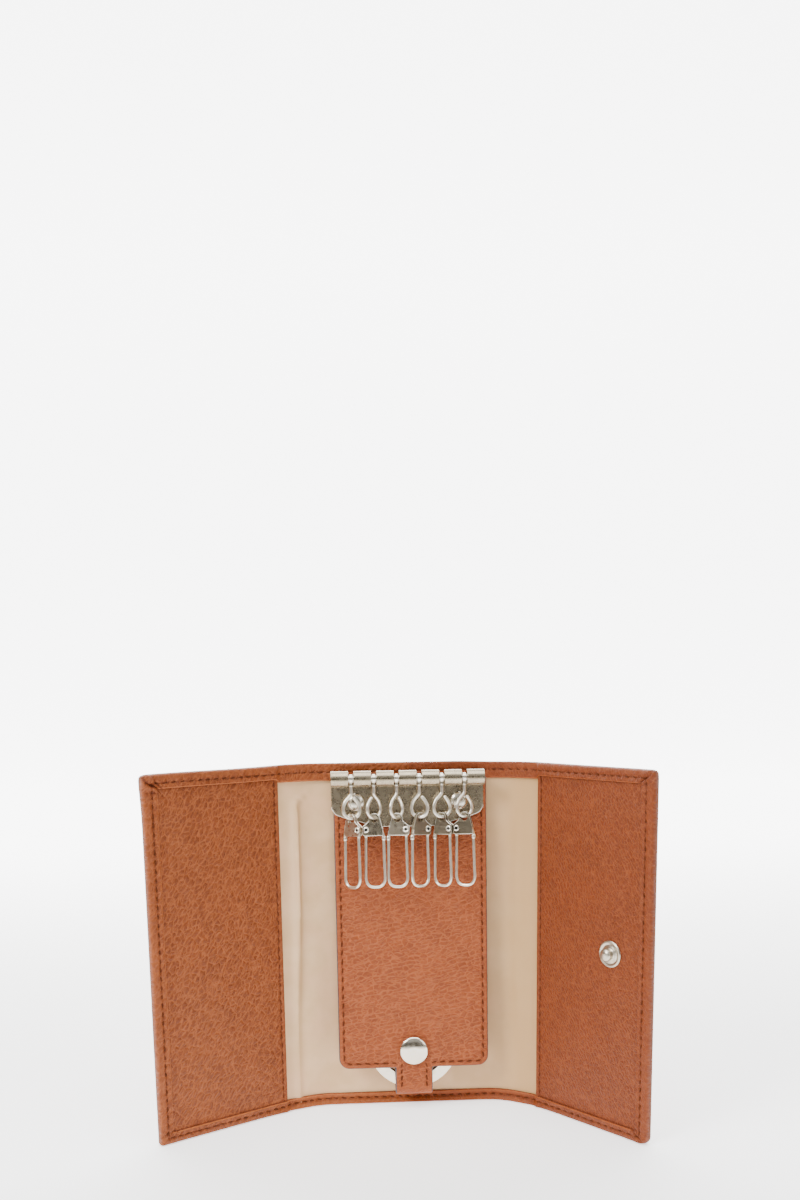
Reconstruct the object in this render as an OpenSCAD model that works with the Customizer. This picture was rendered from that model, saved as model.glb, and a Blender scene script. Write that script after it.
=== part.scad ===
// Trifold leather key case with six swivel key hooks and a split ring.
// It stands open on its lower edges, inner side towards -Y, with the two
// wings swung forwards. Millimetres, +Z up, +X along the open case.

/* [Case] */
// Height of the case
case_h = 98; // [90:1:110]
// Width of the left wing from its fold to its free edge
wing_l = 39.2; // [34:0.2:46]
// Width of the right wing from its fold to its free edge
wing_r = 38.4; // [34:0.2:46]
// Height of the turned-over edge
hem_h = 3.2; // [2.4:0.1:4.5]
// Thickness of the outer leather
skin_t = 1; // [0.8:0.1:1.4]
// Thickness of the leather turned over the edge
turn_t = 0.6; // [0.4:0.1:0.9]
// Thickness of the satin lining
lining_t = 0.25; // [0.15:0.05:0.4]
// Thickness of the pocket panels
pocket_t = 0.9; // [0.6:0.1:1.1]
// Opening of the pockets behind their panels
pocket_gap = 0.1; // [0.1:0.1:0.5]

/* [Folds] */
// Left fold line, distance from the middle of the pad
fold_l = 27.08; // [24:0.1:32]
// Right fold line, distance from the middle of the pad
fold_r = 25.64; // [24:0.1:32]
// Width of the left spine, fold to fold
spine_l = 10.6; // [9:0.1:14]
// Width of the right spine, fold to fold, wider because this wing closes last
spine_r = 12; // [10:0.1:16]
// Angle at the left inner fold as the case stands
bend_l1 = 25; // [0:1:80]
// Angle at the left outer fold as the case stands
bend_l2 = 10; // [0:1:80]
// Angle at the right inner fold as the case stands
bend_r1 = 35; // [0:1:80]
// Angle at the right outer fold as the case stands
bend_r2 = 18; // [0:1:80]

/* [Pad] */
// Width of the hanging pad
pad_w = 42.4; // [40:0.2:46]
// Length of the hanging pad
pad_len = 81.9; // [70:0.5:84]
// Thickness of one of the pad's two layers
layer_t = 1.1; // [0.8:0.1:1.4]
// Forward tilt of the pad as it hangs over the ring and strap
pad_tilt = 2.8; // [1:0.1:6]
// Width of the ring strap
strap_w = 10.6; // [8:0.2:14]
// Thickness of the ring strap
strap_t = 1.35; // [1:0.05:1.6]

/* [Key plate] */
// Width of the key plate
plate_w = 42; // [36:0.5:48]
// Thickness of the key plate
plate_t = 0.7; // [0.5:0.1:1]
// Distance between the hooks
pitch = 6.2; // [6:0.1:7]
// Radius of the rolled knuckles
knuckle_r = 2.2; // [2:0.1:2.6]
// Radius of the rod through the knuckles
rod_r = 0.9; // [0.7:0.1:1]
// Radius of the hooks' wire
wire_r = 0.4; // [0.35:0.05:0.5]

/* [Split ring] */
// Outer radius of the split ring
ring_r = 13; // [10:0.25:15]
// Width of the ring's flat wire
ring_w = 3.4; // [2.5:0.1:4]
// Thickness of the ring, both turns
ring_t = 1.6; // [1.2:0.1:2.2]

/* [Part] */
// The piece to build

/* [Hidden] */
$fn = 48;
eps = 0.01;
// the model is moved so that its box is centred on the origin
off_x = 4.931;
off_y = 18.806;

axis_v = 0.6;                                   // fold axes, in front of the outer leather's inner face
slot_v = lining_t + pocket_gap;                 // back face of a pocket panel
pocket_v = slot_v + pocket_t;                   // front face of a pocket panel
rim_v = pocket_v + 0.45;                        // front face of a wing's turned edge
flap_y = -1.1;                                  // the pad's hinge line
flap_z = case_h - 3.8;
pad_t = 2 * layer_t;
rod_y = -(pad_t + 2.7);                         // rod axis in the pad's frame
rod_z = 0.15;
plate_x = -0.75;                                // the key plate and its hooks sit a little left of the pad's middle
gap_c = 2.5;                                    // half width of the bent strip at an inner fold
edge_r = 0.5;                                   // rounding of the turned edges
gap_w = 1.2;                                    // half width of the crease strip at an outer fold
stud_u = 26.1;                                  // stud, from the right wing's fold
sock_u = 26.46;                                 // socket, from the left wing's fold
snap_z = case_h / 2 + 0.3;
fold_z = -87.6;                                 // the strap's fold, in the pad's frame
fold_y = 0.75;
fold_ri = 1.25;
cap_z = -76.85;                                 // the strap's snap
ring_z = fold_z - 0.74 + ring_r;
ring_y = 0.9;
knuckle_w = (plate_w - 6 * 1.4) / 7;

// hooks, left to right: forward swing, loop yaw, body yaw, and which side the bail pivots on
hook_swing = [3, 3, 3, 3, 3, 3];
loop_yaw = [2, 36, 42, -20, 8, 22];
body_yaw = [-42, -8, -4, 28, -38, -24];
hook_flip = [1, 0, 1, 1, 1, 0];

leather = [0.69, 0.41, 0.26];
pad_leather = [0.75, 0.43, 0.31];
satin = [0.80, 0.72, 0.63];
nickel = [0.80, 0.79, 0.76];

// ---------------------------------------------------------------- helpers

// a block in a panel's own frame: u outwards, v forwards from the outer leather's inner face
module slab(s, u0, u1, v0, v1, z0, z1)
  translate([s > 0 ? u0 : -u1, -v1, z0]) cube([u1 - u0, v1 - v0, z1 - z0]);

module whole() translate([off_x, off_y, 0]) children();

// frames of the spines and wings at rest
module spine_frame(s) {
  c = s > 0 ? fold_r : fold_l;
  b = s > 0 ? bend_r1 : bend_l1;
  translate([s * c, -axis_v, 0]) rotate([0, 0, -s * b]) translate([0, axis_v, 0]) children();
}
module wing_frame(s) {
  w = s > 0 ? spine_r : spine_l;
  b = s > 0 ? bend_r2 : bend_l2;
  spine_frame(s) translate([s * w, -axis_v, 0]) rotate([0, 0, -s * b]) translate([0, axis_v, 0]) children();
}

// a turned edge standing on z = 0, with both its corners rounded
module turned_edge(s, u0, u1, front) {
  for (v = [edge_r - skin_t, front - edge_r]) translate([s > 0 ? u0 : -u1, -v, edge_r]) rotate([0, 90, 0]) cylinder(r = edge_r, h = u1 - u0);
  slab(s, u0, u1, edge_r - skin_t, front - edge_r, 0, edge_r);
  slab(s, u0, u1, -skin_t, front, edge_r, 1.2);
}

// a shell panel with turned edges at the bottom and the top
module shell_panel(s, u0, u1, front) {
  slab(s, u0, u1, -skin_t, 0, 1, case_h - 1);
  for (k = [0, 1]) translate([0, 0, k * case_h]) mirror([0, 0, k]) {
    turned_edge(s, u0, u1, front);
    slab(s, u0, u1, front - turn_t, front, 1, hem_h);
  }
}

module wing_shell(s, width) {
  w = width - edge_r;
  slab(s, gap_w, w, -skin_t, 0, 1, case_h - 1);
  for (k = [0, 1]) translate([0, 0, k * case_h]) mirror([0, 0, k]) {
    turned_edge(s, gap_w, w, rim_v);
    slab(s, gap_w, w - 0.5, rim_v - 0.45, rim_v, 1, hem_h);
  }
  // the free side
  for (v = [edge_r - skin_t, rim_v - edge_r]) translate([s * w, -v, edge_r]) cylinder(r = edge_r, h = case_h - 2 * edge_r);
  slab(s, w - 0.01, width, edge_r - skin_t, rim_v - edge_r, edge_r, case_h - edge_r);
  slab(s, w - 0.7, w, -skin_t, rim_v, edge_r, case_h - edge_r);
  slab(s, width - hem_h, w, rim_v - 0.45, rim_v, 1, case_h - 1);
}

// plan of a layer that bends by a degrees at the origin, between w0 and w1 in front of the axis
module bent_plan(s, g, a, w0, w1) {
  t = tan(a / 2);
  function mid(w) = [-w * t, w];
  function far(w) = [g * cos(a) - w * sin(a), g * sin(a) + w * cos(a)];
  pts = [[-g, w0], mid(w0), far(w0), far(w1), mid(w1), [-g, w1]];
  polygon([for (p = pts) [s * p[0], -p[1]]]);
}

module bent_strip(s, g, a, v0, v1, z0, z1)
  translate([0, -axis_v, z0]) linear_extrude(z1 - z0) bent_plan(s, g, a, v0 - axis_v, v1 - axis_v);

// a whole bent piece of shell with its two turned edges
module bent_shell(s, g, a, front) difference() {
  bent_strip(s, g, a, -skin_t, front, 0, case_h);
  bent_strip(s, g + 1, a, 0, front - turn_t, 1.2, case_h - 1.2);
  bent_strip(s, g + 1, a, 0, front + 1, hem_h, case_h - hem_h);
}

// ---------------------------------------------------------------- case

module shell_centre() color(leather) whole() {
  f = lining_t + turn_t;
  shell_panel(1, 0, fold_r - gap_c, f);
  shell_panel(-1, 0, fold_l - gap_c, f);
}
module shell_left_spine() color(leather) whole() spine_frame(-1) shell_panel(-1, gap_c, spine_l - gap_w, lining_t + turn_t);
module shell_right_spine() color(leather) whole() spine_frame(1) shell_panel(1, gap_c, spine_r - gap_w, lining_t + turn_t);
module shell_left_wing() color(leather) whole() wing_frame(-1) difference() {
  wing_shell(-1, wing_l);
  translate([-sock_u, skin_t + 1, snap_z]) rotate([90, 0, 0]) cylinder(r = 2.6, h = skin_t + 1.2);
}
module shell_right_wing() color(leather) whole() wing_frame(1) wing_shell(1, wing_r);

module fold_left() color(leather) whole() translate([-fold_l, 0, 0]) bent_shell(-1, gap_c, bend_l1, lining_t + turn_t);
module fold_right() color(leather) whole() translate([fold_r, 0, 0]) bent_shell(1, gap_c, bend_r1, lining_t + turn_t);
module crease_left() color(leather) whole() spine_frame(-1) translate([-spine_l, 0, 0]) bent_shell(-1, gap_w, bend_l2, lining_t + turn_t);
module crease_right() color(leather) whole() spine_frame(1) translate([spine_r, 0, 0]) bent_shell(1, gap_w, bend_r2, lining_t + turn_t);

module lining_centre() color(satin) whole() {
  slab(1, 0, fold_r - gap_c, 0, lining_t, 1.4, case_h - 1.4);
  slab(-1, 0, fold_l - gap_c, 0, lining_t, 1.4, case_h - 1.4);
}
module lining_left_spine() color(satin) whole() spine_frame(-1) slab(-1, gap_c, spine_l - gap_w, 0, lining_t, 1.4, case_h - 1.4);
module lining_right_spine() color(satin) whole() spine_frame(1) slab(1, gap_c, spine_r - gap_w, 0, lining_t, 1.4, case_h - 1.4);
module lining_left_wing() color(satin) whole() wing_frame(-1) difference() {
  slab(-1, gap_w, wing_l - 1.8, 0, lining_t, 1.8, case_h - 1.8);
  translate([-sock_u, 1, snap_z]) rotate([90, 0, 0]) cylinder(r = 2.6, h = 3);
}
module lining_right_wing() color(satin) whole() wing_frame(1) slab(1, gap_w, wing_r - 1.8, 0, lining_t, 1.8, case_h - 1.8);

// an open pocket: its panel is held along three sides under the turned edge
module pocket(s, width) {
  slab(s, gap_w, width - 1.7, slot_v, pocket_v, 1.7, case_h - 1.7);
  slab(s, gap_w + 3, width - 1.7, lining_t, slot_v + eps, 1.7, hem_h - 0.4);
  slab(s, gap_w + 3, width - 1.7, lining_t, slot_v + eps, case_h - hem_h + 0.4, case_h - 1.7);
  slab(s, width - hem_h + 0.4, width - 1.7, lining_t, slot_v + eps, 1.7, case_h - 1.7);
}
module pocket_left() color(leather) whole() wing_frame(-1) difference() {
  pocket(-1, wing_l);
  translate([-sock_u, 0, snap_z]) rotate([90, 0, 0]) cylinder(r = 4.15, h = slot_v + 0.18);
}
module pocket_right() color(leather) whole() wing_frame(1) difference() {
  pocket(1, wing_r);
  translate([stud_u, 0.5, snap_z]) rotate([90, 0, 0]) cylinder(r = 1.4, h = 3);
  translate([stud_u, 0, snap_z]) rotate([90, 0, 0]) cylinder(r = 2.7, h = slot_v + 0.22);
}

// ---------------------------------------------------------------- snap of the wings

module wing_stud() color(nickel) whole() wing_frame(1) translate([stud_u, -pocket_v, snap_z]) rotate([90, 0, 0]) {
  difference() {
    cylinder(r = 3.6, h = 0.5);
    translate([0, 0, 0.3]) rotate_extrude() translate([2.4, 0]) square([0.7, 1]);
  }
  cylinder(r = 1.5, h = 1.8);
  translate([0, 0, 1.7]) cylinder(r = 1.75, h = 0.5);
  translate([0, 0, 2.19]) dome(1.74, 0.6);
  translate([0, 0, -pocket_t]) cylinder(r = 1.3, h = pocket_t + 0.2);
  translate([0, 0, -pocket_t]) cylinder(r = 2.6, h = 0.2);
}

module wing_socket() color(nickel) whole() wing_frame(-1) translate([-sock_u, 0, snap_z]) rotate([-90, 0, 0]) difference() {
  union() {
    translate([0, 0, skin_t]) cylinder(r = 4.8, h = 0.35);
    translate([0, 0, skin_t + 0.35]) cylinder(r1 = 4.4, r2 = 3.4, h = 0.45);
    translate([0, 0, -lining_t]) cylinder(r = 2.5, h = skin_t + lining_t + eps);
    translate([0, 0, -lining_t - 0.25]) cylinder(r = 4, h = 0.25);
  }
  translate([0, 0, -0.22]) cylinder(r = 2.05, h = 3);
}

// ---------------------------------------------------------------- pad and strap

// the pad's own frame: origin on its hinge line, y forwards negative, z down negative
module flap() whole() translate([0, flap_y, flap_z]) rotate([-pad_tilt, 0, 0]) children();

module pad_plan(r) {
  difference() {
    union() {
      translate([-pad_w / 2, -pad_len]) square([pad_w, pad_len]);
      translate([-strap_w / 2, fold_z]) square([strap_w, 8]);
    }
    for (s = [-1, 1]) translate([s * (pad_w / 2 - r), -pad_len + r]) difference() {
      translate([s > 0 ? 0 : -r - 1, -r - 1]) square([r + 1, r + 1]);
      circle(r = r);
    }
  }
}
module pad_layer(y0, y1) translate([0, y1, 0]) rotate([90, 0, 0]) linear_extrude(y1 - y0) children();

module snap_hole() translate([0, 2, cap_z]) rotate([90, 0, 0]) cylinder(r = 1.4, h = 6);
module rivet_holes() for (s = [-1, 1]) translate([plate_x + s * 14.2, 2, rod_z - 6.4]) rotate([90, 0, 0]) cylinder(r = 1.1, h = 8);

module pad_front() color(pad_leather) flap() difference() {
  pad_layer(-pad_t, -layer_t) difference() {
    pad_plan(3);
    translate([-strap_w, fold_z - 1]) square([2 * strap_w, -pad_len - fold_z + 1]);
  }
  snap_hole();
  rivet_holes();
}
module pad_back() color(pad_leather) flap() difference() {
  pad_layer(-layer_t, 0) difference() {
    pad_plan(3);
    translate([-strap_w, fold_z - 1]) square([2 * strap_w, -pad_len - fold_z + 1]);
  }
  snap_hole();
  rivet_holes();
}
// the sewn strip that the pad turns on, below the turned edge
module pad_anchor() color(pad_leather) whole() slab(1, -19, 19, lining_t, lining_t + turn_t, case_h - 5.6, case_h - hem_h);

// the strap runs down from the pad, turns under the ring and comes back up behind it
module strap_fold() color(pad_leather) flap() {
  ro = fold_ri + strap_t;
  translate([-strap_w / 2, fold_y, fold_z]) rotate([0, 90, 0]) difference() {
    cylinder(r = ro, h = strap_w);
    translate([0, 0, -1]) cylinder(r = fold_ri, h = strap_w + 2);
    translate([-ro - 1, -ro - 1, -1]) cube([ro + 1, 2 * ro + 2, strap_w + 2]);
  }
  translate([-strap_w / 2, fold_y - ro, fold_z - eps]) cube([strap_w, strap_t, -pad_len - fold_z + eps]);
}
module strap_end() color(pad_leather) flap() difference() {
  union() {
    translate([-strap_w / 2, fold_y + fold_ri, fold_z + 0.2]) cube([strap_w, strap_t, cap_z - fold_z]);
    translate([0, fold_y + fold_ri + strap_t, cap_z + 0.2]) rotate([90, 0, 0]) cylinder(r = strap_w / 2, h = strap_t);
  }
  translate([0, 6, cap_z]) rotate([90, 0, 0]) cylinder(r = 1.2, h = 6);
}

// a low dome on z = 0, base radius r, height h
module dome(r, h) {
  big = (r * r + h * h) / (2 * h);
  intersection() {
    translate([0, 0, h - big]) sphere(r = big, $fn = 96);
    cylinder(r = r, h = h + 1);
  }
}

module strap_cap() color(nickel) flap() translate([0, -pad_t, cap_z]) rotate([90, 0, 0]) {
  cylinder(r = 4.1, h = 0.35);
  translate([0, 0, 0.35]) dome(4.1, 1.15);
  translate([0, 0, -pad_t]) cylinder(r = 1.3, h = pad_t + eps);
}
module strap_socket() color(nickel) flap() translate([0, 0, cap_z]) rotate([-90, 0, 0]) difference() {
  union() {
    cylinder(r = 3.3, h = 0.3);
    translate([0, 0, 0.3]) cylinder(r1 = 3, r2 = 2.7, h = 1.1);
  }
  translate([0, 0, 0.25]) cylinder(r = 1.9, h = 3);
}
module strap_stud() color(nickel) flap() translate([0, fold_y + fold_ri, cap_z]) rotate([90, 0, 0]) {
  cylinder(r = 3.4, h = 0.3);
  cylinder(r = 1.2, h = 1.2);
  translate([0, 0, 1.1]) cylinder(r = 1.5, h = 0.35);
  translate([0, 0, -strap_t]) cylinder(r = 1.1, h = strap_t + eps);
  translate([0, 0, -strap_t]) mirror([0, 0, 1]) dome(3.4, 0.5);
}

module split_ring() color(nickel) flap() translate([0, ring_y, ring_z]) rotate([90, 0, 0]) difference() {
  translate([0, 0, -ring_t / 2]) difference() {
    cylinder(r = ring_r, h = ring_t, $fn = 96);
    translate([0, 0, -1]) cylinder(r = ring_r - ring_w, h = ring_t + 2, $fn = 96);
  }
  // the slit between the two turns
  for (r = [ring_r - 0.25, ring_r - ring_w])
    translate([0, 0, -0.05]) difference() {
      cylinder(r = r + 0.25 + (r > ring_r - 1 ? 1 : 0), h = 0.1, $fn = 96);
      translate([0, 0, -1]) cylinder(r = r - (r > ring_r - 1 ? 0 : 1), h = 2, $fn = 96);
    }
}

// ---------------------------------------------------------------- key plate

module key_plate() color(nickel) flap() translate([plate_x, 0, rod_z]) {
  difference() {
    translate([0, -pad_t, 0]) rotate([90, 0, 0]) linear_extrude(plate_t) polygon([
      [-plate_w / 2, -1.2], [-plate_w / 2, -8.2], [-plate_w / 2 + 0.4, -9.2], [-plate_w / 2 + 1.3, -10], [-17.3, -10.8],
      [-13.1, -11.9], [-10.6, -12.7], [-7.2, -13.3],
      [7.2, -13.3], [10.6, -12.7], [13.1, -11.9],
      [17.3, -10.8], [plate_w / 2 - 1.3, -10], [plate_w / 2 - 0.4, -9.2], [plate_w / 2, -8.2], [plate_w / 2, -1.2]
    ]);
    for (s = [-1, 1]) translate([s * 14.2, 0, -6.4]) rotate([90, 0, 0]) cylinder(r = 1.1, h = 9);
    for (k = [0 : 5]) translate([(k - 2.5) * pitch - 0.7, -8, -3]) cube([1.4, 8, 6]);
  }
  for (k = [0 : 6]) translate([(k - 3) * pitch - knuckle_w / 2, rod_y, 0]) rotate([0, 90, 0]) difference() {
    union() {
      cylinder(r = knuckle_r, h = knuckle_w);
      // the neck between the flat and the roll
      translate([0, knuckle_r - 0.7, 0]) cube([1.9, -pad_t - plate_t / 2 - rod_y - knuckle_r + 0.7, knuckle_w]);
    }
    translate([0, 0, -1]) cylinder(r = rod_r, h = knuckle_w + 2);
  }
}
module rod() color(nickel) flap() translate([plate_x - plate_w / 2, rod_y, rod_z]) rotate([0, 90, 0]) cylinder(r = rod_r, h = plate_w);
module plate_rivets() color(nickel) flap() for (s = [-1, 1]) translate([plate_x + s * 14.2, -pad_t - plate_t, rod_z - 6.4]) rotate([90, 0, 0]) {
  dome(2.5, 0.95);
  translate([0, 0, -pad_t - plate_t]) cylinder(r = 1.05, h = pad_t + plate_t + eps);
  translate([0, 0, -pad_t - plate_t - 0.35]) cylinder(r = 2.3, h = 0.35);
}

// ---------------------------------------------------------------- hooks

// frame of hook k, origin on the rod's axis
module on_rod(k) flap() translate([plate_x + (k - 3.5) * pitch, rod_y, rod_z]) rotate([-hook_swing[k - 1], 0, 0]) children();

// a strap of sheet round the rod, with the foot that the loop's shank turns in
module clip(k) color(nickel) on_rod(k) difference() {
  union() {
    translate([-0.55, 0, 0]) rotate([0, 90, 0]) cylinder(r = 1.5, h = 1.1);
    translate([-0.55, -0.9, -2.5]) cube([1.1, 1.8, 2]);
  }
  translate([-2, 0, 0]) rotate([0, 90, 0]) cylinder(r = rod_r + 0.08, h = 4);
  translate([0, 0, -3]) cylinder(r = wire_r + 0.08, h = 1.4);
  translate([-2, -0.62, -2.02]) cube([4, 1.24, 0.75]);
}

loop_r = 2.25;      // radius of the loop's wire line
loop_z = -8.45;     // centre of the loop, below the rod
top_z = -4.2;       // where the two sides meet
loop_half = asin(loop_r / (top_z - loop_z));

module wire_to(p, q) {
  d = q - p;
  translate(p) rotate([0, acos(d[2] / norm(d)), atan2(d[1], d[0])]) cylinder(r = wire_r, h = norm(d));
}

// a wire loop: the shank turns in the clip, the wire goes round and ends beside the shank
module loop(k) color(nickel) on_rod(k) rotate([0, 0, loop_yaw[k - 1]]) {
  bend = wire_r + 0.04;
  side = [loop_r * cos(loop_half), 0, loop_z + loop_r * sin(loop_half)];
  left = [-side[0], 0, side[2]];
  translate([0, 0, -1.96]) cylinder(r = 0.55, h = 0.5);
  translate([0, 0, top_z]) cylinder(r = wire_r, h = -1.9 - top_z);
  translate([0, 0, top_z]) sphere(r = bend);
  wire_to(left, [0, 0, top_z]);
  translate(left) sphere(r = bend);
  translate(side) sphere(r = bend);
  wire_to(side, [0.62, 0, top_z - 0.95]);
  for (k = [0, 1]) translate([0, 0, loop_z]) rotate([90, 0, 0]) rotate([0, 0, k == 0 ? 180 - loop_half : 270 - 0.01])
    rotate_extrude(angle = 90 + loop_half + 0.01) translate([loop_r, 0]) circle(r = wire_r);
}

eye_z = loop_z - loop_r;   // wire line at the loop's foot

// the hook's body: a stamped plate with its eye, an eyelet, a rolled tube for the bail, and the spring blade with its catch
module hook_body(k) color(nickel) on_rod(k) rotate([0, 0, body_yaw[k - 1] + 180 * hook_flip[k - 1]]) difference() {
  union() {
    translate([0, 0.25, 0]) rotate([90, 0, 0]) linear_extrude(0.5) difference() {
      polygon([[-0.9, eye_z + 1.35], [0.9, eye_z + 1.35], [1.5, eye_z + 0.7], [1.6, -12], [2.1, -13.4], [2.1, -15.6],
               [-2.9, -15.9], [-2.9, -13.3], [-2, -12.2], [-1.5, eye_z + 0.7]]);
      translate([0, eye_z - 0.3]) circle(r = 1);
    }
    // eyelet
    translate([-1.75, 0.7, -13.9]) rotate([90, 0, 0]) {
      cylinder(r = 0.6, h = 1.4);
      cylinder(r = 0.82, h = 0.25);
      translate([0, 0, 1.15]) cylinder(r = 0.82, h = 0.25);
    }
    // blade and catch
    translate([0.95, -0.5, -11.9]) rotate([0, -13, 0]) translate([0, 0, -4.3]) cube([0.7, 1, 4.3]);
    translate([bail_half, 0, -16.75]) cylinder(r = 0.68, h = 1.2);
    translate([-bail_half, 0, -15.9]) cylinder(r = 0.74, h = 1.25);
  }
  translate([-1.75, 2, -13.9]) rotate([90, 0, 0]) cylinder(r = 0.38, h = 4);
  translate([-bail_half, 0, -17]) cylinder(r = wire_r + 0.08, h = 2.2);
}

bail_half = 2.45;   // half distance between the bail's legs
bail_end = -29.4;   // lowest point of the wire line

// the wire bail: one leg turns between the cheeks, the free end meets the catch
module bail(k) color(nickel) on_rod(k) rotate([0, 0, body_yaw[k - 1] + 180 * hook_flip[k - 1]]) {
  leg_z = bail_end + bail_half;
  translate([-bail_half, 0, leg_z]) cylinder(r = wire_r, h = -14.9 - leg_z);
  translate([bail_half, 0, leg_z]) cylinder(r = wire_r, h = -16.8 - leg_z);
  translate([0, 0, leg_z]) rotate([90, 0, 0]) rotate([0, 0, 180])
    rotate_extrude(angle = 180) translate([bail_half, 0]) circle(r = wire_r);
}

shell_centre();
shell_left_spine();
shell_left_wing();
shell_right_spine();
shell_right_wing();
fold_left();
fold_right();
crease_left();
crease_right();
lining_centre();
lining_left_spine();
lining_left_wing();
lining_right_spine();
lining_right_wing();
pocket_left();
pocket_right();
pad_anchor();
pad_front();
pad_back();
strap_fold();
strap_end();
key_plate();
rod();
plate_rivets();
strap_cap();
strap_socket();
strap_stud();
split_ring();
wing_stud();
wing_socket();
clip(1);  // clip_1
clip(2);  // clip_2
clip(3);  // clip_3
clip(4);  // clip_4
clip(5);  // clip_5
clip(6);  // clip_6
loop(1);  // loop_1
loop(2);  // loop_2
loop(3);  // loop_3
loop(4);  // loop_4
loop(5);  // loop_5
loop(6);  // loop_6
hook_body(1);  // hook_1
hook_body(2);  // hook_2
hook_body(3);  // hook_3
hook_body(4);  // hook_4
hook_body(5);  // hook_5
hook_body(6);  // hook_6
bail(1);  // bail_1
bail(2);  // bail_2
bail(3);  // bail_3
bail(4);  // bail_4
bail(5);  // bail_5
bail(6);  // bail_6
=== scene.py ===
"""Looks of the key case: leather, satin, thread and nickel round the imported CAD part."""

import math

import bmesh
import bpy
import numpy as np
from mathutils import Matrix, Vector


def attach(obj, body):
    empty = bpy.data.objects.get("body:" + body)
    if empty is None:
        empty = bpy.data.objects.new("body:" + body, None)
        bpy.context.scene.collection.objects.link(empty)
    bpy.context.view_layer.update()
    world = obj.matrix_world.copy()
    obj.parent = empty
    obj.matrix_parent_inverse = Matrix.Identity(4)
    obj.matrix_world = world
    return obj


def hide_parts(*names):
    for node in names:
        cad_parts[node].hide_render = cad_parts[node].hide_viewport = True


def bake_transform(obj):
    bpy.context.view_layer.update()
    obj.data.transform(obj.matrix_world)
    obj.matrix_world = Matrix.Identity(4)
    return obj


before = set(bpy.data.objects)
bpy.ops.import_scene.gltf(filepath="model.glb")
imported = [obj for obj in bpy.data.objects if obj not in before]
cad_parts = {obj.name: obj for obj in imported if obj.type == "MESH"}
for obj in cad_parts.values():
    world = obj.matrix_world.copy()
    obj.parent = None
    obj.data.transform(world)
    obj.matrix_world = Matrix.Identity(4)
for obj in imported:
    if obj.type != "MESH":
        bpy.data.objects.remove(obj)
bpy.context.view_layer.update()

# ------------------------------------------------------------------ sizes, in millimetres, as in part.scad
OX, OY = 4.931, 18.806
H = 98.0
AXIS = 0.6
LINING, SLOT, POCKET = 0.25, 0.35, 1.25
RIM_C, RIM_W = 0.85, 1.7
SKIN = 1.0
HEM = 3.2
SEAM = 1.78
STEP = 2.35
K_ZONE = 6.0
SIDES = {
    -1: dict(tag="left", fold=27.08, spine=10.6, wing=39.2, b1=25.0, b2=10.0, h1=4.6, h2=3.2),
    1: dict(tag="right", fold=25.64, spine=12.0, wing=38.4, b1=35.0, b2=18.0, h1=5.0, h2=3.4),
}
for k in SIDES.values():
    k["hinge"] = k["fold"] + k["spine"]
    k["mid"] = k["fold"] + 0.5 * (k["h1"] + k["spine"] - k["h2"])
    k["end"] = k["hinge"] + k["wing"]


# ------------------------------------------------------------------ small helpers

def smooth(t):
    t = np.clip(t, 0, 1)
    return t * t * (3 - 2 * t)


_tables = {}


def noise(x, y, seed):
    """Smooth value noise from -1 to 1, one cell per unit."""
    if seed not in _tables:
        _tables[seed] = np.random.RandomState(seed).rand(64, 64) * 2 - 1
    t = _tables[seed]
    x, y = np.broadcast_arrays(np.asarray(x, float), np.asarray(y, float))
    xi, yi = np.floor(x).astype(int), np.floor(y).astype(int)
    fx, fy = x - xi, y - yi
    fx, fy = fx * fx * (3 - 2 * fx), fy * fy * (3 - 2 * fy)
    a, b = t[xi % 64, yi % 64], t[(xi + 1) % 64, yi % 64]
    c, d = t[xi % 64, (yi + 1) % 64], t[(xi + 1) % 64, (yi + 1) % 64]
    return (a * (1 - fx) + b * fx) * (1 - fy) + (c * (1 - fx) + d * fx) * fy


def fold_map(u, w, h, deg):
    """A flat strip that bends by deg over u from -h to h. Returns outward and forward, from the fold axis."""
    b = math.radians(deg)
    t = np.clip((u + h) / (2 * h), 0, 1)
    cx = -h * (1 - t) ** 2 + h * math.cos(b) * t ** 2
    cy = h * math.sin(b) * t ** 2
    tx, ty = (1 - t) + t * math.cos(b), t * math.sin(b)
    n = np.hypot(tx, ty)
    tx, ty = tx / n, ty / n
    cx = cx + np.minimum(u + h, 0) + np.maximum(u - h, 0) * math.cos(b)
    cy = cy + np.maximum(u - h, 0) * math.sin(b)
    return cx - ty * w, cy + tx * w


def bend(side, s, v):
    """Design x and y of a point s outwards along the flat case, v in front of the outer leather's inner face."""
    k = SIDES[side]
    a, w = fold_map(s - k["hinge"], v - AXIS, k["h2"], k["b2"])
    p, q = fold_map(a + k["spine"], w, k["h1"], k["b1"])
    return side * (k["fold"] + p), -(AXIS + q)


def case_point(side, s, z, v):
    s, z, v = np.broadcast_arrays(np.asarray(s, float), np.asarray(z, float), np.asarray(v, float))
    x, y = bend(side, s, v)
    return np.stack([x, y, z], -1)


def row(p):
    """Design millimetres to the row frame in metres."""
    return (np.asarray(p, float) + [OX, OY, 0]) / 1000


def turn_x(p, deg):
    a = math.radians(deg)
    p = np.asarray(p, float)
    y, z = p[..., 1], p[..., 2]
    return np.stack([p[..., 0], y * math.cos(a) - z * math.sin(a), y * math.sin(a) + z * math.cos(a)], -1)


def turn_z(p, deg):
    a = math.radians(deg)
    p = np.asarray(p, float)
    x, y = p[..., 0], p[..., 1]
    return np.stack([x * math.cos(a) - y * math.sin(a), x * math.sin(a) + y * math.cos(a), p[..., 2]], -1)


def flap(p):
    """The hanging pad's frame to design millimetres."""
    return turn_x(p, -2.8) + [0, -1.1, 94.2]


ROD_Y, ROD_Z, PLATE_X = -4.9, 0.15, -0.75


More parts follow.
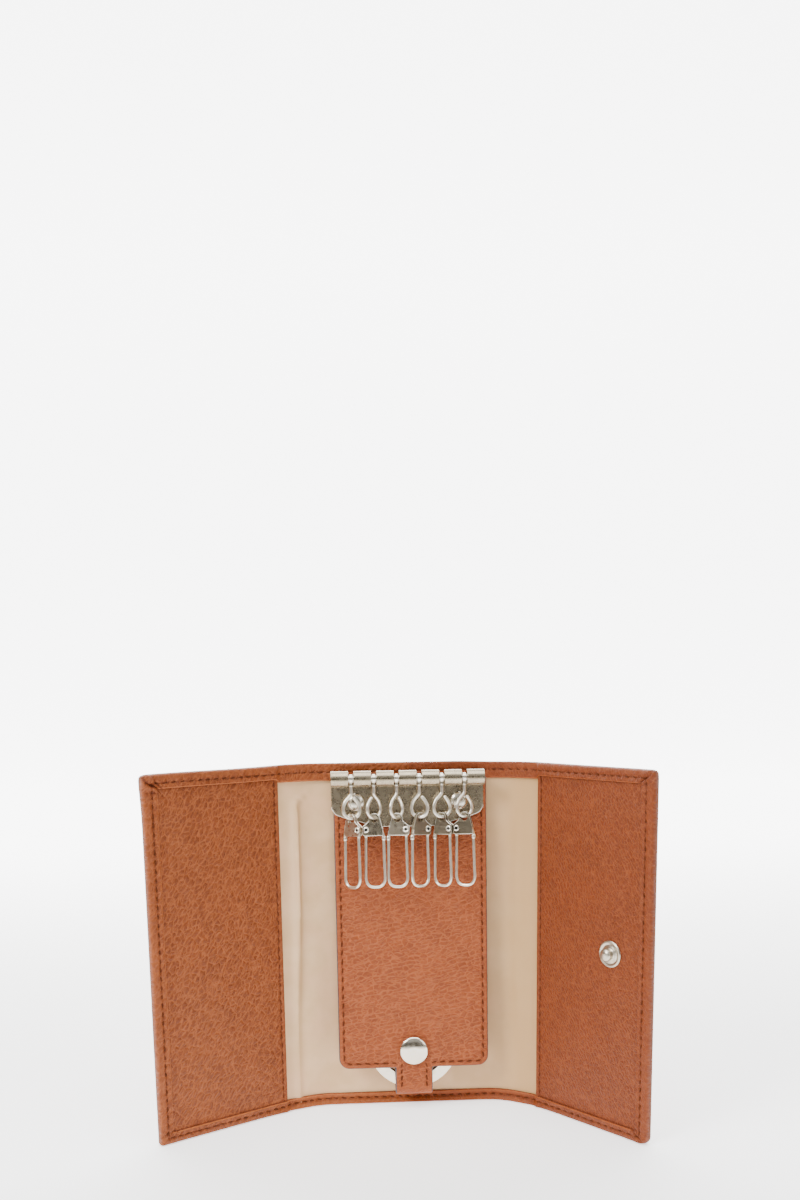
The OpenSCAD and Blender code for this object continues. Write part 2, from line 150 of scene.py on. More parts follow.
def on_rod(k, p):
    return flap(turn_x(p, -3.0) + [PLATE_X + (k - 3.5) * 6.2, ROD_Y, ROD_Z])


def wing_at(side, u, v, z):
    """A point of a wing's own flat frame."""
    return case_point(side, SIDES[side]["hinge"] + u, z, v)


def catmull(points, n=6):
    p = np.asarray(points, float)
    p = np.vstack([2 * p[0] - p[1], p, 2 * p[-1] - p[-2]])
    out = []
    for i in range(1, len(p) - 2):
        for t in np.arange(n) / n:
            a, b, c, d = p[i - 1], p[i], p[i + 1], p[i + 2]
            out.append(0.5 * (2 * b + (c - a) * t + (2 * a - 5 * b + 4 * c - d) * t * t + (3 * b - a - 3 * c + d) * t ** 3))
    out.append(p[-2])
    return np.array(out)


def unit(v):
    return v / np.maximum(np.linalg.norm(v, axis=-1, keepdims=True), 1e-12)


class Bag:
    """Collects the vertices and faces of one piece."""

    def __init__(self):
        self.v, self.a, self.r, self.f, self.m, self.n = [], [], [], [], [], 0

    def points(self, p, flat=None, wear_and_painted_light=0.0):
        p = np.asarray(p, float)
        k = p.reshape(-1, 3)
        a = k if flat is None else np.broadcast_to(np.asarray(flat, float), p.shape).reshape(-1, 3)
        r = np.broadcast_to(np.asarray(wear_and_painted_light, float), p.shape[:-1]).reshape(-1)
        start = self.n
        self.v.append(k), self.a.append(a), self.r.append(r)
        self.n += len(k)
        return start + np.arange(len(k)).reshape(p.shape[:-1])

    def quads(self, idx, mat=0, wrap=False, keep=None):
        if wrap:
            idx = np.concatenate([idx, idx[:, :1]], 1)
        q = np.stack([idx[:-1, :-1], idx[1:, :-1], idx[1:, 1:], idx[:-1, 1:]], -1)
        m = np.broadcast_to(np.asarray(mat), q.shape[:2])
        if keep is not None:
            q, m = q[keep], m[keep]
        q = q.reshape(-1, 4)
        self.f += q.tolist()
        self.m += m.reshape(-1).tolist()

    def face(self, ids, mat=0):
        self.f.append([int(i) for i in ids])
        self.m.append(mat)

    def zip(self, a, ta, b, tb, mat=0):
        """Triangles between two rows of vertices with different spacing."""
        i = j = 0
        while i < len(a) - 1 or j < len(b) - 1:
            if j == len(b) - 1 or (i < len(a) - 1 and ta[i + 1] <= tb[j + 1]):
                self.face([a[i], a[i + 1], b[j]], mat)
                i += 1
            else:
                self.face([a[i], b[j + 1], b[j]], mat)
                j += 1

    def add(self, part, place=None, mat=0, wear_and_painted_light=0.0):
        """A ready (vertices, faces) part, put in place; its own coordinates drive the material."""
        v, f = part
        v = np.asarray(v, float)
        ids = self.points(v if place is None else place(v), flat=v, wear_and_painted_light=wear_and_painted_light)
        for face in f:
            self.face([ids[i] for i in face], mat)


def link(ob):
    bpy.context.scene.collection.objects.link(ob)
    return ob


def make(name, bag, mats, sharp=55, weld=0.0015, weighted=False):
    me = bpy.data.meshes.new(name)
    v = np.concatenate(bag.v)
    me.from_pydata(row(v).tolist(), [], bag.f)
    flat = me.attributes.new("flat", "FLOAT_VECTOR", "POINT")
    flat.data.foreach_set("vector", np.concatenate(bag.a).astype(np.float32).ravel())
    # per-vertex mark for the materials: positive for lighter rubbed edges and painted highlights, negative for painted
    # shade in seams, creases and beside the turned edges
    wear_and_painted_light = me.attributes.new("wear_and_painted_light", "FLOAT", "POINT")
    wear_and_painted_light.data.foreach_set("value", np.concatenate(bag.r).astype(np.float32))
    for m in mats:
        me.materials.append(m)
    me.polygons.foreach_set("material_index", bag.m)
    bm = bmesh.new()
    bm.from_mesh(me)
    bmesh.ops.remove_doubles(bm, verts=bm.verts, dist=weld / 1000)
    bmesh.ops.recalc_face_normals(bm, faces=bm.faces)
    bm.to_mesh(me)
    bm.free()
    me.polygons.foreach_set("use_smooth", [True] * len(me.polygons))
    if sharp:
        me.set_sharp_from_angle(angle=math.radians(sharp))
    ob = link(bpy.data.objects.new(name, me))
    if weighted:
        w = ob.modifiers.new("normals", "WEIGHTED_NORMAL")
        w.keep_sharp = True
        w.weight = 80
    return ob


# ------------------------------------------------------------------ ready parts: tube, revolve, stamped sheet, block

def tube(path, radius, sides=12, flat_y=1.0, ends="round"):
    path = np.asarray(path, float)
    n = len(path)
    rad = np.broadcast_to(np.asarray(radius, float), (n,))
    tan = unit(np.gradient(path, axis=0))
    ref = np.array([0, 1.0, 0]) if abs(tan[0][1]) < 0.9 else np.array([1.0, 0, 0])
    a = unit(ref - tan[0] * (ref @ tan[0]))
    frames = []
    for t in tan:
        a = unit(a - t * (a @ t))
        frames.append((a, np.cross(t, a)))
    centres, radii, fr = list(path), list(rad), list(frames)
    if ends == "round":
        for end, sgn in ((0, -1), (-1, 1)):
            extra = []
            for ang in (30, 60, 84):
                c = path[end] + sgn * tan[end] * rad[end] * 0.9 * math.sin(math.radians(ang))
                extra.append((c, rad[end] * math.cos(math.radians(ang)), frames[end]))
            if end == 0:
                extra = extra[::-1]
                centres = [e[0] for e in extra] + centres
                radii = [e[1] for e in extra] + radii
                fr = [e[2] for e in extra] + fr
            else:
                centres += [e[0] for e in extra]
                radii += [e[1] for e in extra]
                fr += [e[2] for e in extra]
    v, f = [], []
    for c, r, (a, b) in zip(centres, radii, fr):
        for j in range(sides):
            t = 2 * math.pi * j / sides
            v.append(c + a * r * math.cos(t) * flat_y + b * r * math.sin(t))
    m = len(centres)
    for i in range(m - 1):
        for j in range(sides):
            p, q = i * sides + j, i * sides + (j + 1) % sides
            f.append([p, q, q + sides, p + sides])
    f.append(list(range(sides))[::-1])
    f.append([(m - 1) * sides + j for j in range(sides)])
    return np.array(v), f


def revolve(profile, n=48, axis="z", closed=False):
    """profile is (radius, height) along the axis. closed joins its end to its start, as in a ring."""
    v, f, rows = [], [], []
    for r, h in profile:
        if r < 1e-6:
            rows.append([len(v)])
            v.append((0, 0, h))
        else:
            rows.append(list(range(len(v), len(v) + n)))
            for j in range(n):
                t = 2 * math.pi * j / n
                v.append((r * math.cos(t), r * math.sin(t), h))
    pairs = list(zip(rows, rows[1:])) + ([(rows[-1], rows[0])] if closed else [])
    for a, b in pairs:
        for j in range(n):
            q = (j + 1) % n
            if len(a) == 1 and len(b) == 1:
                continue
            if len(a) == 1:
                f.append([a[0], b[q], b[j]])
            elif len(b) == 1:
                f.append([a[j], a[q], b[0]])
            else:
                f.append([a[j], a[q], b[q], b[j]])
    v = np.array(v, float)
    if axis == "-y":
        v = np.stack([v[:, 0], -v[:, 2], v[:, 1]], -1)
    elif axis == "y":
        v = np.stack([v[:, 0], v[:, 2], -v[:, 1]], -1)
    elif axis == "x":
        v = np.stack([v[:, 2], v[:, 0], v[:, 1]], -1)
    return v, f


def arc(cx, cy, r, a0, a1, n):
    t = np.radians(np.linspace(a0, a1, n))
    return [(cx + r * math.cos(a), cy + r * math.sin(a)) for a in t]


def rounded(points, n=5):
    """An outline with rounded corners: points are (x, y, radius)."""
    out = []
    m = len(points)
    for i in range(m):
        x, y, r = points[i]
        p = np.array([x, y], float)
        a, b = np.array(points[i - 1][:2], float), np.array(points[(i + 1) % m][:2], float)
        ua, ub = unit(a - p), unit(b - p)
        half = math.acos(max(-1, min(1, float(ua @ ub)))) / 2
        if r <= 0 or half > 1.55:
            out.append((x, y))
            continue
        cut = min(r / math.tan(half), 0.49 * np.linalg.norm(a - p), 0.49 * np.linalg.norm(b - p))
        for t in np.linspace(0, 1, n):
            q = (1 - t) ** 2 * (p + ua * cut) + 2 * t * (1 - t) * p + t * t * (p + ub * cut)
            out.append((float(q[0]), float(q[1])))
    return out


def stamped(outline, holes, thick, edge, res=2):
    """A sheet cut to an outline with holes, its edges rounded. In x and y, centred on z = 0."""
    cu = bpy.data.curves.new("cut", "CURVE")
    cu.dimensions, cu.fill_mode = "2D", "BOTH"
    cu.extrude, cu.bevel_depth, cu.bevel_resolution, cu.offset = thick / 2 - edge, edge, res, -edge
    for loop in [outline] + list(holes):
        sp = cu.splines.new("POLY")
        sp.points.add(len(loop) - 1)
        for pt, (x, y) in zip(sp.points, loop):
            pt.co = (x, y, 0, 1)
        sp.use_cyclic_u = True
    ob = link(bpy.data.objects.new("cut", cu))
    bpy.context.view_layer.update()
    me = bpy.data.meshes.new_from_object(ob.evaluated_get(bpy.context.evaluated_depsgraph_get()))
    v = np.array([p.co[:] for p in me.vertices], float)
    f = [list(p.vertices) for p in me.polygons]
    bpy.data.objects.remove(ob)
    bpy.data.curves.remove(cu)
    bpy.data.meshes.remove(me)
    return v, f


def upright(part, y=0.0):
    """A stamped part's x, y to x, z, facing forward."""
    v, f = part
    return np.stack([v[:, 0], v[:, 2] + y, v[:, 1]], -1), f


def block(x0, x1, y0, y1, z0, z1, edge, seg=2):
    bm = bmesh.new()
    bmesh.ops.create_cube(bm, size=1.0)
    bmesh.ops.scale(bm, vec=(x1 - x0, y1 - y0, z1 - z0), verts=bm.verts)
    bmesh.ops.translate(bm, vec=((x0 + x1) / 2, (y0 + y1) / 2, (z0 + z1) / 2), verts=bm.verts)
    bmesh.ops.bevel(bm, geom=bm.edges[:], offset=edge, segments=seg, profile=0.5, affect="EDGES")
    v = np.array([p.co[:] for p in bm.verts], float)
    f = [[p.index for p in q.verts] for q in bm.faces]
    bm.free()
    return v, f


def moved(part, by):
    return np.asarray(part[0]) + by, part[1]


# ------------------------------------------------------------------ materials

class Graph:
    def __init__(self, name):
        self.mat = bpy.data.materials.new(name)
        self.mat.use_nodes = True
        self.t = self.mat.node_tree
        self.t.nodes.clear()
        self.out = self.t.nodes.new("ShaderNodeOutputMaterial")
        self.bsdf = self.t.nodes.new("ShaderNodeBsdfPrincipled")
        self.t.links.new(self.bsdf.outputs[0], self.out.inputs[0])

    def node(self, kind, _out=0, **inputs):
        n = self.t.nodes.new("ShaderNode" + kind)
        for key, val in inputs.items():
            if key.startswith("p_"):
                setattr(n, key[2:], val)
        for key, val in inputs.items():
            if key.startswith("p_"):
                continue
            key = int(key[1:]) if key[0] == "i" and key[1:].isdigit() else key.replace("_", " ")
            sock = n.inputs[key]
            if isinstance(val, bpy.types.NodeSocket):
                self.t.links.new(val, sock)
            elif hasattr(sock.default_value, "__len__") and len(sock.default_value) == 4 and len(val) == 3:
                sock.default_value = (*val, 1)
            else:
                sock.default_value = val
        return n.outputs[_out]

    def math(self, op, a, b=0.0, c=None):
        kw = dict(p_operation=op, i0=a, i1=b)
        if c is not None:
            kw["i2"] = c
        return self.node("Math", **kw)

    def attr(self, name, out="Vector"):
        n = self.t.nodes.new("ShaderNodeAttribute")
        n.attribute_name = name
        return n.outputs[out]

    def place(self, vec, scale=(1, 1, 1), rot=(0, 0, 0), loc=(0, 0, 0)):
        return self.node("Mapping", Vector=vec, Scale=scale, Rotation=rot, Location=loc)

    def noise(self, vec, scale, detail=2.0, rough=0.5, distortion=0.0, colour=False):
        return self.node("TexNoise", 1 if colour else 0, Vector=vec, Scale=scale, Detail=detail, Roughness=rough, Distortion=distortion)

    def span(self, value, a, b, c=0.0, d=1.0, kind="SMOOTHSTEP"):
        n = self.t.nodes.new("ShaderNodeMapRange")
        n.interpolation_type = kind
        self.t.links.new(value, n.inputs[0])
        for i, x in zip((1, 2, 3, 4), (a, b, c, d)):
            n.inputs[i].default_value = x
        return n.outputs[0]

    def mix(self, fac, a, b):
        n = self.t.nodes.new("ShaderNodeMix")
        n.data_type = "RGBA"
        for sock, val in ((n.inputs[0], fac), (n.inputs[6], a), (n.inputs[7], b)):
            if isinstance(val, bpy.types.NodeSocket):
                self.t.links.new(val, sock)
            else:
                sock.default_value = val if not hasattr(val, "__len__") else (*val, 1)
        return n.outputs[2]

    def set(self, **kw):
        for key, val in kw.items():
            sock = self.bsdf.inputs[key.replace("_", " ")]
            if isinstance(val, bpy.types.NodeSocket):
                self.t.links.new(val, sock)
            else:
                sock.default_value = (*val, 1) if hasattr(val, "__len__") and len(val) == 3 else val


def leather(name, base, light, dark, angle, size=1.25, depth=0.00020, rough=(0.40, 0.60), seed=0.0):
    """Pebbled leather. angle is the run of the pebbles in the flat sheet, size their width in millimetres."""
    g = Graph(name)
    p = g.attr("flat")
    wear_and_painted_light = g.attr("wear_and_painted_light", "Fac")
    warp = g.noise(g.place(p, loc=(seed, 0, 0)), 0.30, 2.0, 0.55, colour=True)
    shift = g.node("VectorMath", p_operation="MULTIPLY_ADD", i0=warp, i1=(1.5, 1.5, 1.5), i2=p)

    def run(turn, squeeze):
        return g.place(g.place(shift, rot=(0, 0, math.radians(-turn))), scale=(squeeze, 1, 1))

    drift = g.noise(g.place(p, loc=(seed, 3, 9)), 0.045, 1.0, 0.5)

    def ridges(turn, width, wave, loc, thin, lo, hi):
        """Thin ridge lines that wander along one direction and break off."""
        along = g.place(g.place(shift, rot=(0, 0, math.radians(-turn)), loc=loc), scale=(1, 1, 1))
        sep = g.t.nodes.new("ShaderNodeSeparateXYZ")
        g.t.links.new(along, sep.inputs[0])
        t = g.math("ADD", g.math("DIVIDE", sep.outputs["Y"], width), g.math("MULTIPLY", g.noise(g.place(along, scale=(0.6, 1, 1)), 0.34 / width, 2.0, 0.45), wave))
        t = g.math("ADD", t, g.math("MULTIPLY", drift, 3.5))
        saw = g.math("PINGPONG", t, 0.5)
        gate = g.span(g.noise(g.place(along, scale=(0.72, 1, 1), loc=(4, 8, 2)), 1.1 / width, 2.0, 0.55), lo, hi)
        return g.math("MULTIPLY", g.math("SUBTRACT", 1.0, g.span(saw, 0.02, thin)), gate)

    main = ridges(angle, size, 1.9, (seed, 1, 0), 0.21, 0.40, 0.54)
    cells = g.node("TexVoronoi", "Distance", p_feature="DISTANCE_TO_EDGE", Vector=run(angle - 6, 0.62), Scale=0.92 / size, Randomness=0.95)
    small = g.node("TexVoronoi", "Distance", p_feature="DISTANCE_TO_EDGE", Vector=run(angle + 30, 0.7), Scale=1.7 / size, Randomness=1.0)
    area = g.noise(p, 0.10, 2.0, 0.5)
    patchy = g.noise(g.place(p, loc=(7, seed, 2)), 0.55, 2.0, 0.5)
    pits = g.noise(run(angle + 14, 0.62), 1.15 / size, 2.0, 0.55)
    fine = g.noise(p, 6.0, 3.0, 0.6)
    swell = g.noise(run(angle + 8, 0.5), 0.42, 2.0, 0.5)
    # lighter where the mark is positive (rubbed edges and painted highlights), darker where it is negative (painted
    # shade)
    wear_and_highlight = g.math("MAXIMUM", wear_and_painted_light, 0.0)
    painted_shade = g.math("MAXIMUM", g.math("MULTIPLY", wear_and_painted_light, -1.0), 0.0)
    strength = g.math("SUBTRACT", 1.0, g.math("MULTIPLY", wear_and_highlight, 0.55))
    # light lines along the grain's ridges and cell edges: a painted highlight where the ridges catch the light
    rim = g.math("MULTIPLY", g.math("SUBTRACT", 1.0, g.span(cells, 0.01, 0.12)), g.span(patchy, 0.34, 0.56, 0.45, 1.0))
    painted_ridge_highlight = g.math("MAXIMUM", g.math("MULTIPLY", main, 0.95), g.math("MULTIPLY", rim, 0.90))
    dome = g.math("ADD", g.math("MULTIPLY", g.span(cells, 0.0, 0.34), 0.85), g.math("MULTIPLY", g.span(small, 0.0, 0.26), 0.35))
    pebble = g.math("ADD", dome, g.math("ADD", g.math("MULTIPLY", g.span(pits, 0.34, 0.62), 0.30), g.math("MULTIPLY", main, 0.30)))
    h = g.math("ADD", pebble, g.math("ADD", g.math("MULTIPLY", fine, 0.22), g.math("MULTIPLY", swell, 0.6)))
    h = g.math("MULTIPLY", h, strength)
    bump = g.node("Bump", Height=h, Distance=depth, Strength=1.0)
    c = g.mix(g.span(area, 0.32, 0.68), base, tuple(0.86 * x for x in base))
    c = g.mix(g.math("MULTIPLY", g.math("MULTIPLY", g.math("SUBTRACT", 1.0, g.span(pits, 0.34, 0.60)), strength), 0.50), c, dark)
    c = g.mix(g.math("MULTIPLY", g.span(swell, 0.45, 0.70), 0.12), c, light)
    c = g.mix(g.math("MULTIPLY", g.math("MULTIPLY", painted_ridge_highlight, strength), 0.70), c, light)
    c = g.mix(g.math("MULTIPLY", g.span(fine, 0.5, 0.78), 0.08), c, light)
    c = g.mix(g.math("MULTIPLY", wear_and_highlight, 0.12), c, light)
    # above 0.8 the mark takes a brighter tint: painted light on the bottom hem near the middle and a painted highlight
    # on the lip's crown
    c = g.mix(g.math("MULTIPLY", g.span(wear_and_painted_light, 0.80, 0.97), 0.75), c, tuple(1.22 * x for x in light))
    c = g.mix(g.math("MULTIPLY", painted_shade, 0.75), c, dark)
    r = g.span(g.math("ADD", g.math("MULTIPLY", pebble, 0.5), g.math("MULTIPLY", fine, 0.5)), 0.2, 1.1, rough[1], rough[0], "LINEAR")
    g.set(Base_Color=c, Roughness=r, Normal=bump, IOR=1.45, Specular_IOR_Level=0.30, Coat_Weight=0.0)
    return g.mat


def edge_paint(name, colour):
    g = Graph(name)
    p = g.attr("flat")
    n = g.noise(p, 2.2, 3.0, 0.6)
    f = g.noise(p, 14.0, 2.0, 0.6)
    g.set(Base_Color=g.mix(g.span(n, 0.35, 0.7), colour, tuple(1.7 * x + 0.01 for x in colour)),
          Roughness=g.span(f, 0.3, 0.7, 0.38, 0.55),
          Normal=g.node("Bump", Height=g.math("ADD", n, g.math("MULTIPLY", f, 0.3)), Distance=0.00008, Strength=0.8))
    return g.mat


def satin(name):
    g = Graph(name)
    p = g.attr("flat")
    warp_y = g.noise(g.place(p, scale=(9.0, 0.35, 1)), 1.0, 3.0, 0.6)
    cross = g.noise(g.place(p, scale=(0.6, 8.0, 1)), 1.0, 2.0, 0.5)
    slub = g.noise(p, 0.11, 3.0, 0.5)
    blot = g.noise(g.place(p, loc=(41, 7, 3)), 0.075, 2.0, 0.5)
    h = g.math("ADD", g.math("MULTIPLY", warp_y, 0.5), g.math("MULTIPLY", cross, 0.35))
    c = g.mix(g.span(slub, 0.35, 0.68), (0.640, 0.405, 0.205), (0.720, 0.470, 0.255))
    c = g.mix(g.math("MULTIPLY", g.span(blot, 0.42, 0.66), 0.45), c, (0.730, 0.430, 0.245))
    c = g.mix(g.math("MULTIPLY", g.span(warp_y, 0.45, 0.8), 0.10), c, (0.80, 0.58, 0.36))
    # painted light on the satin crease's shoulder where the mark is positive, painted shade along its flank where it is
    # negative
    wear_and_painted_light = g.attr("wear_and_painted_light", "Fac")
    c = g.mix(g.math("MULTIPLY", g.math("MAXIMUM", wear_and_painted_light, 0.0), 0.6), c, (0.80, 0.57, 0.36))
    c = g.mix(g.math("MULTIPLY", g.math("MAXIMUM", g.math("MULTIPLY", wear_and_painted_light, -1.0), 0.0), 0.6), c, (0.42, 0.25, 0.115))
    # painted shade: the satin on the right half darkens outwards from 8 mm
    sep = g.t.nodes.new("ShaderNodeSeparateXYZ")
    g.t.links.new(p, sep.inputs[0])
    c = g.mix(g.math("MULTIPLY", g.span(sep.outputs["X"], 8.0, 22.0), 0.4), c, (0.52, 0.31, 0.135))
    c = g.mix(g.math("MULTIPLY", g.span(sep.outputs["X"], 22.0, 33.0), 0.75), c, (0.47, 0.27, 0.10))
    g.set(Base_Color=c, Roughness=g.span(cross, 0.3, 0.7, 0.40, 0.50), Normal=g.node("Bump", Height=h, Distance=0.00002, Strength=0.6),
          IOR=1.45, Specular_IOR_Level=0.45, Sheen_Weight=0.12, Sheen_Roughness=0.35, Sheen_Tint=(0.95, 0.86, 0.74))
    return g.mat


def thread(name):
    g = Graph(name)
    p = g.attr("flat")
    ply = g.node("TexWave", Vector=g.place(p, rot=(0, 0, math.radians(38))), Scale=1.6, Distortion=0.6, Detail=1.0, p_wave_type="BANDS", p_bands_direction="X")
    n = g.noise(p, 7.0, 2.0, 0.6)
    g.set(Base_Color=g.mix(g.span(n, 0.3, 0.7), (0.070, 0.0150, 0.0026), (0.125, 0.029, 0.0060)), Roughness=g.span(n, 0.3, 0.7, 0.55, 0.75),
          Normal=g.node("Bump", Height=g.math("ADD", ply, g.math("MULTIPLY", n, 0.4)), Distance=0.00005, Strength=0.8), Specular_IOR_Level=0.15)
    return g.mat


def nickel(name, colour, rough, brushed=0.0, tarnish=0.12):
    g = Graph(name)
    p = g.attr("flat")
    streak = g.noise(g.place(p, scale=(0.5, 9.0, 9.0)), 2.2, 4.0, 0.65)
    mottle = g.noise(p, 0.8, 3.0, 0.6)
    speck = g.noise(p, 9.0, 2.0, 0.6)
    dull = g.math("ADD", g.math("MULTIPLY", g.span(mottle, 0.35, 0.75), tarnish), g.math("MULTIPLY", g.span(streak, 0.35, 0.7), brushed))
    r = g.math("ADD", dull, rough)
    h = g.math("ADD", g.math("MULTIPLY", streak, 0.6 if brushed else 0.0), g.math("MULTIPLY", speck, 0.18 if brushed else 0.05))
    c = g.mix(g.span(mottle, 0.3, 0.75), colour, tuple(0.88 * x for x in colour))
    g.set(Base_Color=c, Metallic=1.0, Roughness=r, Normal=g.node("Bump", Height=h, Distance=0.000004 if brushed else 0.000002, Strength=0.5))
    return g.mat


BASE, LIGHT, DARK = (0.206, 0.0455, 0.0070), (0.357, 0.100, 0.028), (0.108, 0.0205, 0.0035)
PAD, PAD_L, PAD_D = (0.257, 0.0560, 0.0118), (0.400, 0.109, 0.035), (0.165, 0.034, 0.009)
# the right side's leather is a darker copy of the same leather: painted shade for the side turned from the key light
BASE_R_SHADED, LIGHT_R_SHADED = (0.164, 0.0300, 0.0040), (0.268, 0.066, 0.0165)
M = {
    "skin_left": leather("case_leather_left", BASE, LIGHT, DARK, 56, seed=3.0),
    "skin_right": leather("case_leather_right_shaded", BASE_R_SHADED, LIGHT_R_SHADED, DARK, -58, size=0.85, depth=0.00014, seed=19.0),
    "skin_back": leather("case_leather_back", BASE, tuple(0.78 * x for x in LIGHT), DARK, 78, size=1.05, depth=0.00016, seed=31.0),
    "pad": leather("pad_leather_front", PAD, PAD_L, PAD_D, 12, size=1.15, depth=0.00018, seed=47.0),
    "pad_back": leather("pad_leather_back", PAD, PAD_L, PAD_D, -12, size=1.15, depth=0.00018, seed=61.0),
    "paint": edge_paint("edge_paint", (0.040, 0.040, 0.052)),
    "satin": satin("satin_lining"),
    "thread": thread("brown_thread"),
    "bright": nickel("bright_nickel", (0.89, 0.81, 0.665), 0.12),
    "wire": nickel("wire_nickel", (0.88, 0.82, 0.70), 0.28, tarnish=0.03),
    "rivet": nickel("rivet_nickel", (0.72, 0.665, 0.56), 0.22, tarnish=0.06),
    "bore": edge_paint("bore_shadow", (0.010, 0.008, 0.006)),
    "snap": nickel("snap_nickel", (0.58, 0.52, 0.42), 0.30, tarnish=0.08),
    "plate": nickel("plate_nickel", (0.43, 0.36, 0.255), 0.25, tarnish=0.10),
    # three copies of one stamped nickel, bright, middle and dark: painted reflection differences between the hook
    # bodies
    "stamp_painted_bright": nickel("stamped_nickel_painted_bright", (0.56, 0.485, 0.375), 0.26, tarnish=0.12),
    "stamp": nickel("stamped_nickel", (0.36, 0.31, 0.23), 0.26, tarnish=0.12),
    "stamp_painted_dark": nickel("stamped_nickel_painted_dark", (0.22, 0.186, 0.132), 0.28, tarnish=0.12),
}


# ------------------------------------------------------------------ the outer leather, one turned-over shell

def level(side, s):
    """Front face of the turned edge: low over the lining, higher over a pocket."""
    u = s - SIDES[side]["hinge"]
    return RIM_C + (RIM_W - RIM_C) * smooth((u + 1.1) / 1.6)


def ground(side, s):
    """What the turned edge lies on."""
    u = s - SIDES[side]["hinge"]
    return LINING + (POCKET - LINING) * smooth((u + 0.55) / 0.5)


# corners of the two wings: radius, lift of the tip, pleats as (place across the corner, depth, width)
CORNERS = {
    (-1, 1): dict(r=1.25, lift=0.85, pleats=[(0.04, 0.55, 0.10), (-0.36, 0.32, 0.09), (0.52, 0.28, 0.10)]),
    (-1, 0): dict(r=0.55, lift=0.10, pleats=[(0.30, 0.30, 0.08), (-0.25, 0.14, 0.12)]),
    (1, 1): dict(r=1.3, lift=0.45, pleats=[(-0.05, 0.45, 0.09), (0.34, 0.20, 0.12)]),
    (1, 0): dict(r=1.9, lift=0.18, pleats=[(-0.12, 0.36, 0.11), (0.35, 0.18, 0.12)]),
}

ROLL = 0.75
# how far the whole turned edge of a wing lies outside its plan line
EDGE_OUT = {-1: 0.0, 1: 0.45}
_theta = np.radians(np.linspace(90, -90, 15))
PROFILE = (
    [("floor", HEM + 0.06, 0.0), ("lip", HEM + 0.05, -0.12), ("lip", HEM + 0.05, 0.35), ("lip", HEM + 0.02, 0.75), ("lip", HEM - 0.06, 0.95)]
    + [("hem", d, 0.0) for d in (3.02, 2.85, 2.65, 2.45, 2.28, 2.12, 2.0, 1.92, 1.85, 1.78, 1.71, 1.64, 1.55, 1.42, 1.28, 1.12)]
    + [("roll", ROLL * (1 - max(0.0, math.cos(t)) ** 0.8), math.sin(t)) for t in _theta]
    + [("back", d, 0.0) for d in (1.12, 1.3, 1.45, 1.58, 1.7, 1.78, 1.86, 2.0, 2.2, 2.5, 3.0, 3.6, 4.3)]
)
P_KIND = np.array([p[0] for p in PROFILE])
P_D = np.array([p[1] for p in PROFILE])
P_X = np.array([p[2] for p in PROFILE])


def corner_zone(d, unit_q, r):
    """Square corner lines pulled into nested round ones: returns the distances inwards from both edges."""
    rho = K_ZONE - d
    q = unit_q[:, None, :] * rho[None, :, None]
    rc = np.maximum(r - d, 1e-4)[None, :]
    big, small = q.max(-1), q.min(-1)
    lim = rho[None, :] - rc
    m = np.clip((small - lim) / rc, 0, 1)
    ang = m * math.pi / 4
    inside = small > lim
    nb = np.where(inside, lim + rc * np.cos(ang), big)
    ns = np.where(inside, lim + rc * np.sin(ang), small)
    first = q[..., 0] >= q[..., 1]
    return K_ZONE - np.where(first, nb, ns), K_ZONE - np.where(first, ns, nb)


ROUND = 251.0


def ring(side, part, d):
    """Stations along the turned edge, by distances d inwards. Returns s, z, the run along the edge, the corner place and which corner."""
    k = SIDES[side]
    blocks = []

    def add(s, z, run, c=None, top=None):
        n = len(run)
        c = np.full(n, 9.0) if c is None else c
        blocks.append((s, z, run, c, np.full(n, 9 if top is None else top)))

    if part in ("top", "bottom"):
        st = np.linspace(0, k["mid"], int(round(k["mid"] / 0.4)) + 1)
        s = st[:, None] + 0 * d[None]
        z = (H - d if part == "top" else d)[None] + 0 * s
        add(s, z, st if part == "top" else ROUND - st)
    else:
        st = np.linspace(k["mid"], k["end"] - K_ZONE, int((k["end"] - K_ZONE - k["mid"]) / 0.4) + 1)
        run0 = st[-1]
        n = 15
        along = np.concatenate([[(j / n, 1.0) for j in range(1, n + 1)], [(1.0, 1 - j / n) for j in range(1, n)]])
        place = np.concatenate([np.arange(1, n + 1) / n - 1, np.arange(1, n) / n])
        zs = np.linspace(H - K_ZONE, K_ZONE, int((H - 2 * K_ZONE) / 0.4) + 1)
        add(st[:, None] + 0 * d[None], (H - d)[None] + 0 * st[:, None], st)
        ds, dz = corner_zone(d, along, CORNERS[side, 1]["r"])
        crun = run0 + (place + 1) * K_ZONE
        add(k["end"] - ds, H - dz, crun, place, 1)
        run1 = run0 + 2 * K_ZONE
        run2 = ROUND - st[-1] - 2 * K_ZONE
        add((k["end"] - d)[None] + 0 * zs[:, None], zs[:, None] + 0 * d[None], run1 + (run2 - run1) * (zs[0] - zs) / (zs[0] - zs[-1]))
        ds, dz = corner_zone(d, along[::-1], CORNERS[side, 0]["r"])
        add(k["end"] - ds, dz, run2 + (1 - place[::-1]) * K_ZONE, place[::-1], 0)
        back = st[::-1]
        add(back[:, None] + 0 * d[None], d[None] + 0 * back[:, None], ROUND - back)
    return [np.concatenate([b[i] for b in blocks]) for i in range(5)]


